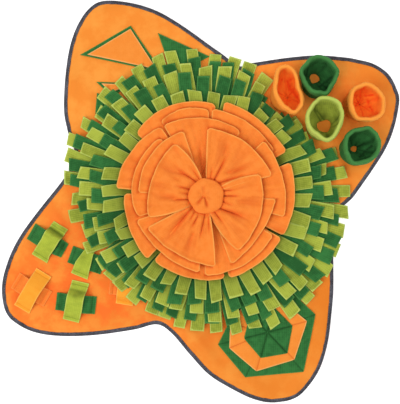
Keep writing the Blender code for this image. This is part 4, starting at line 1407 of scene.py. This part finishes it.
def buildFringeRing(index, name, finish, strips, path, free):
    table = fringe
    rng = random.Random(index + 1)  # the solid's own draws
    own = random.Random(60 + index)  # the scene's
    root, rootHeight = path[0]
    step = 360 / strips
    turn = rng.uniform(0, step)
    half = table["stripWidth"] / 2
    halfRoot = math.degrees(half / root)
    shade, shadeReach = table["rootShade"]
    bm = startCloth()
    toneLayer = bm.verts.layers.float.new("tone")
    roots = []
    cutArea = math.pi * (root**2 - (root - table["band"]) ** 2)
    for strip in range(strips):
        degrees = (turn + step * strip) % 360
        out = direction(degrees + step * straying(rng, "splay"))
        start = polar(table["centre"], root, degrees)
        across = leftOf(out)
        share = (readTable(table["reach"], degrees) - root) / (table["fullReach"] - root)
        length = (path[-1][0] - root) * share + straying(rng, "stray")
        allowed = clearOfCups(start, out, length)
        isCut = allowed < length
        length = allowed
        curl = straying(rng, "curl")
        bow = straying(own, "bow")
        skew = straying(own, "skew")
        widen = straying(own, "widthStray")
        camber = straying(own, "camber")
        lifts = table["tipLift"] * own.uniform(-0.15, 1.0) ** 2 * (0.1 if isCut else 1.0)
        rough = table["unruly"][2] if table["unruly"][0] < degrees < table["unruly"][1] else 1.0
        twist = rough * math.radians(straying(own, "twist")) * (0.3 if isCut else 1.0)
        bow *= 0.5 + 0.5 * rough
        ripple = own.uniform(0.3, 1.0) * table["ripple"]
        phase = own.uniform(0, 6.28)
        tone = straying(own, "tone")
        tone += table["greenTone"] if finish == "greenMicrofleece" else 0.0
        bend = min(path[1][0] - root, length - (len(path) - 2) * table["leastSegment"])
        count = max(8, round(length / table["segment"]))
        rows = []
        for level in range(-1, count + 1):
            row = []
            for side in table["columns"]:
                if level <= 0:
                    radius = root - table["band"] if level < 0 else root
                    place = polar(table["centre"], radius, degrees + side * halfRoot)
                    height = rootHeight
                    cloth = (side * half, radius - root, farIn)
                else:
                    along = length * (1 - (1 - level / count) ** 1.15)
                    tip = smooth((along - (length - free)) / free)
                    loose = smooth((along - (length - table["tipZone"])) / table["tipZone"])
                    reach = along + skew * side * half * (along / length) ** 3
                    wide = side * (half + widen * along / length)
                    place = start + out * reach + across * (wide + bow * (along / length) ** 2)
                    if along < bend:
                        corner = polar(table["centre"], root, degrees + side * halfRoot)
                        place = corner.lerp(start + out * bend + across * wide, along / bend)
                    height = readTable(path, root + along) + fringeLift(place) + curl * tip
                    height += ripple * math.sin(along / 9 + phase) * smooth(along / 20)
                    height -= camber * (side * side - 0.4) * smooth(along / 25)
                    height += lifts * loose**1.3 + wide * math.sin(twist) * loose
                    cloth = (side * half, along, min(half - abs(side) * half, length - along))
                # Painted shade at the root, where the other strips lie over it.
                vert = addVert(bm, (*place, height), cloth, shade * (1 - smooth(cloth[1] / shadeReach)))
                vert[toneLayer] = tone
                row.append(vert)
            rows.append(row)
        joinRows(bm, rows)
        roots.append((rows[0], rows[1]))
        cutArea += table["stripWidth"] * length
    for (innerA, outerA), (innerB, outerB) in sidesOf(roots):
        bm.faces.new((innerA[-1], innerB[0], outerB[0], outerA[-1]))
    piece = finishPiece(name + "_strips", bm, finish, layout["fleece"])
    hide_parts(name)
    wide = 2 * math.pi * root


for index, ring in enumerate(fringe["rings"]):
    buildFringeRing(index, *ring)
print("fringe")

studio = {
    "cameraHeight": 1150.0,
    "viewWidth": 706.7,  # what the photograph's 400 pixels span on the floor
    "world": 0.37,
    "lamps": [  # name, power, size in metres, place
        ("softbox at the left", 58.0, 2.2, (-1.9, -1.0, 2.7)),
        ("softbox overhead", 7.8, 0.9, (0.15, 0.1, 1.7)),
        ("reflector at the right", 7.0, 1.2, (1.5, 1.0, 1.3)),
    ],
    "floor": "#FBFBFB",
    "floorGlow": 0.5,  # a white sweep that is lit from behind
    "floorReach": 4.0,  # metres from its middle to each side
    "floorDrop": 0.2,  # keeps it clear of the mat's underside
}


def buildStudio():
    table = studio
    scene = bpy.context.scene
    camera = bpy.data.cameras.new("overhead camera")
    camera.sensor_fit = "HORIZONTAL"
    camera.angle = 2 * math.atan(table["viewWidth"] / 2 / table["cameraHeight"])
    camera.clip_start = 0.01
    cameraPlace = bpy.data.objects.new("overhead camera", camera)
    cameraPlace.location = toWorld(0, 0, table["cameraHeight"])
    scene.collection.objects.link(cameraPlace)
    scene.camera = cameraPlace

    for name, power, size, place in table["lamps"]:
        lamp = bpy.data.lights.new(name, "AREA")
        lamp.shape = "SQUARE"
        lamp.size = size
        lamp.energy = power
        softbox = bpy.data.objects.new(name, lamp)
        softbox.location = place
        aim = -Vector(place)
        softbox.rotation_euler = aim.to_track_quat("-Z", "Y").to_euler()
        scene.collection.objects.link(softbox)

    world = bpy.data.worlds.new("white room")
    world.use_nodes = True
    world.node_tree.nodes["Background"].inputs["Color"].default_value = (1, 1, 1, 1)
    world.node_tree.nodes["Background"].inputs["Strength"].default_value = table["world"]
    scene.world = world
    scene.view_settings.view_transform = "Standard"

    reach = table["floorReach"]
    corners = [(-reach, -reach, 0), (reach, -reach, 0), (reach, reach, 0), (-reach, reach, 0)]
    mesh = bpy.data.meshes.new("floor")
    mesh.from_pydata(corners, [], [(0, 1, 2, 3)])
    floor = bpy.data.objects.new("floor", mesh)
    floor.location.z = -table["floorDrop"] * mm
    paint = startMaterial("paintedFloor", {
        "Roughness": 0.7, "Specular IOR Level": 0.2, "Base Color": linear(table["floor"]),
        "Emission Color": (1, 1, 1, 1), "Emission Strength": table["floorGlow"]})[0]
    mesh.materials.append(paint)
    scene.collection.objects.link(floor)


buildStudio()
print("studio")
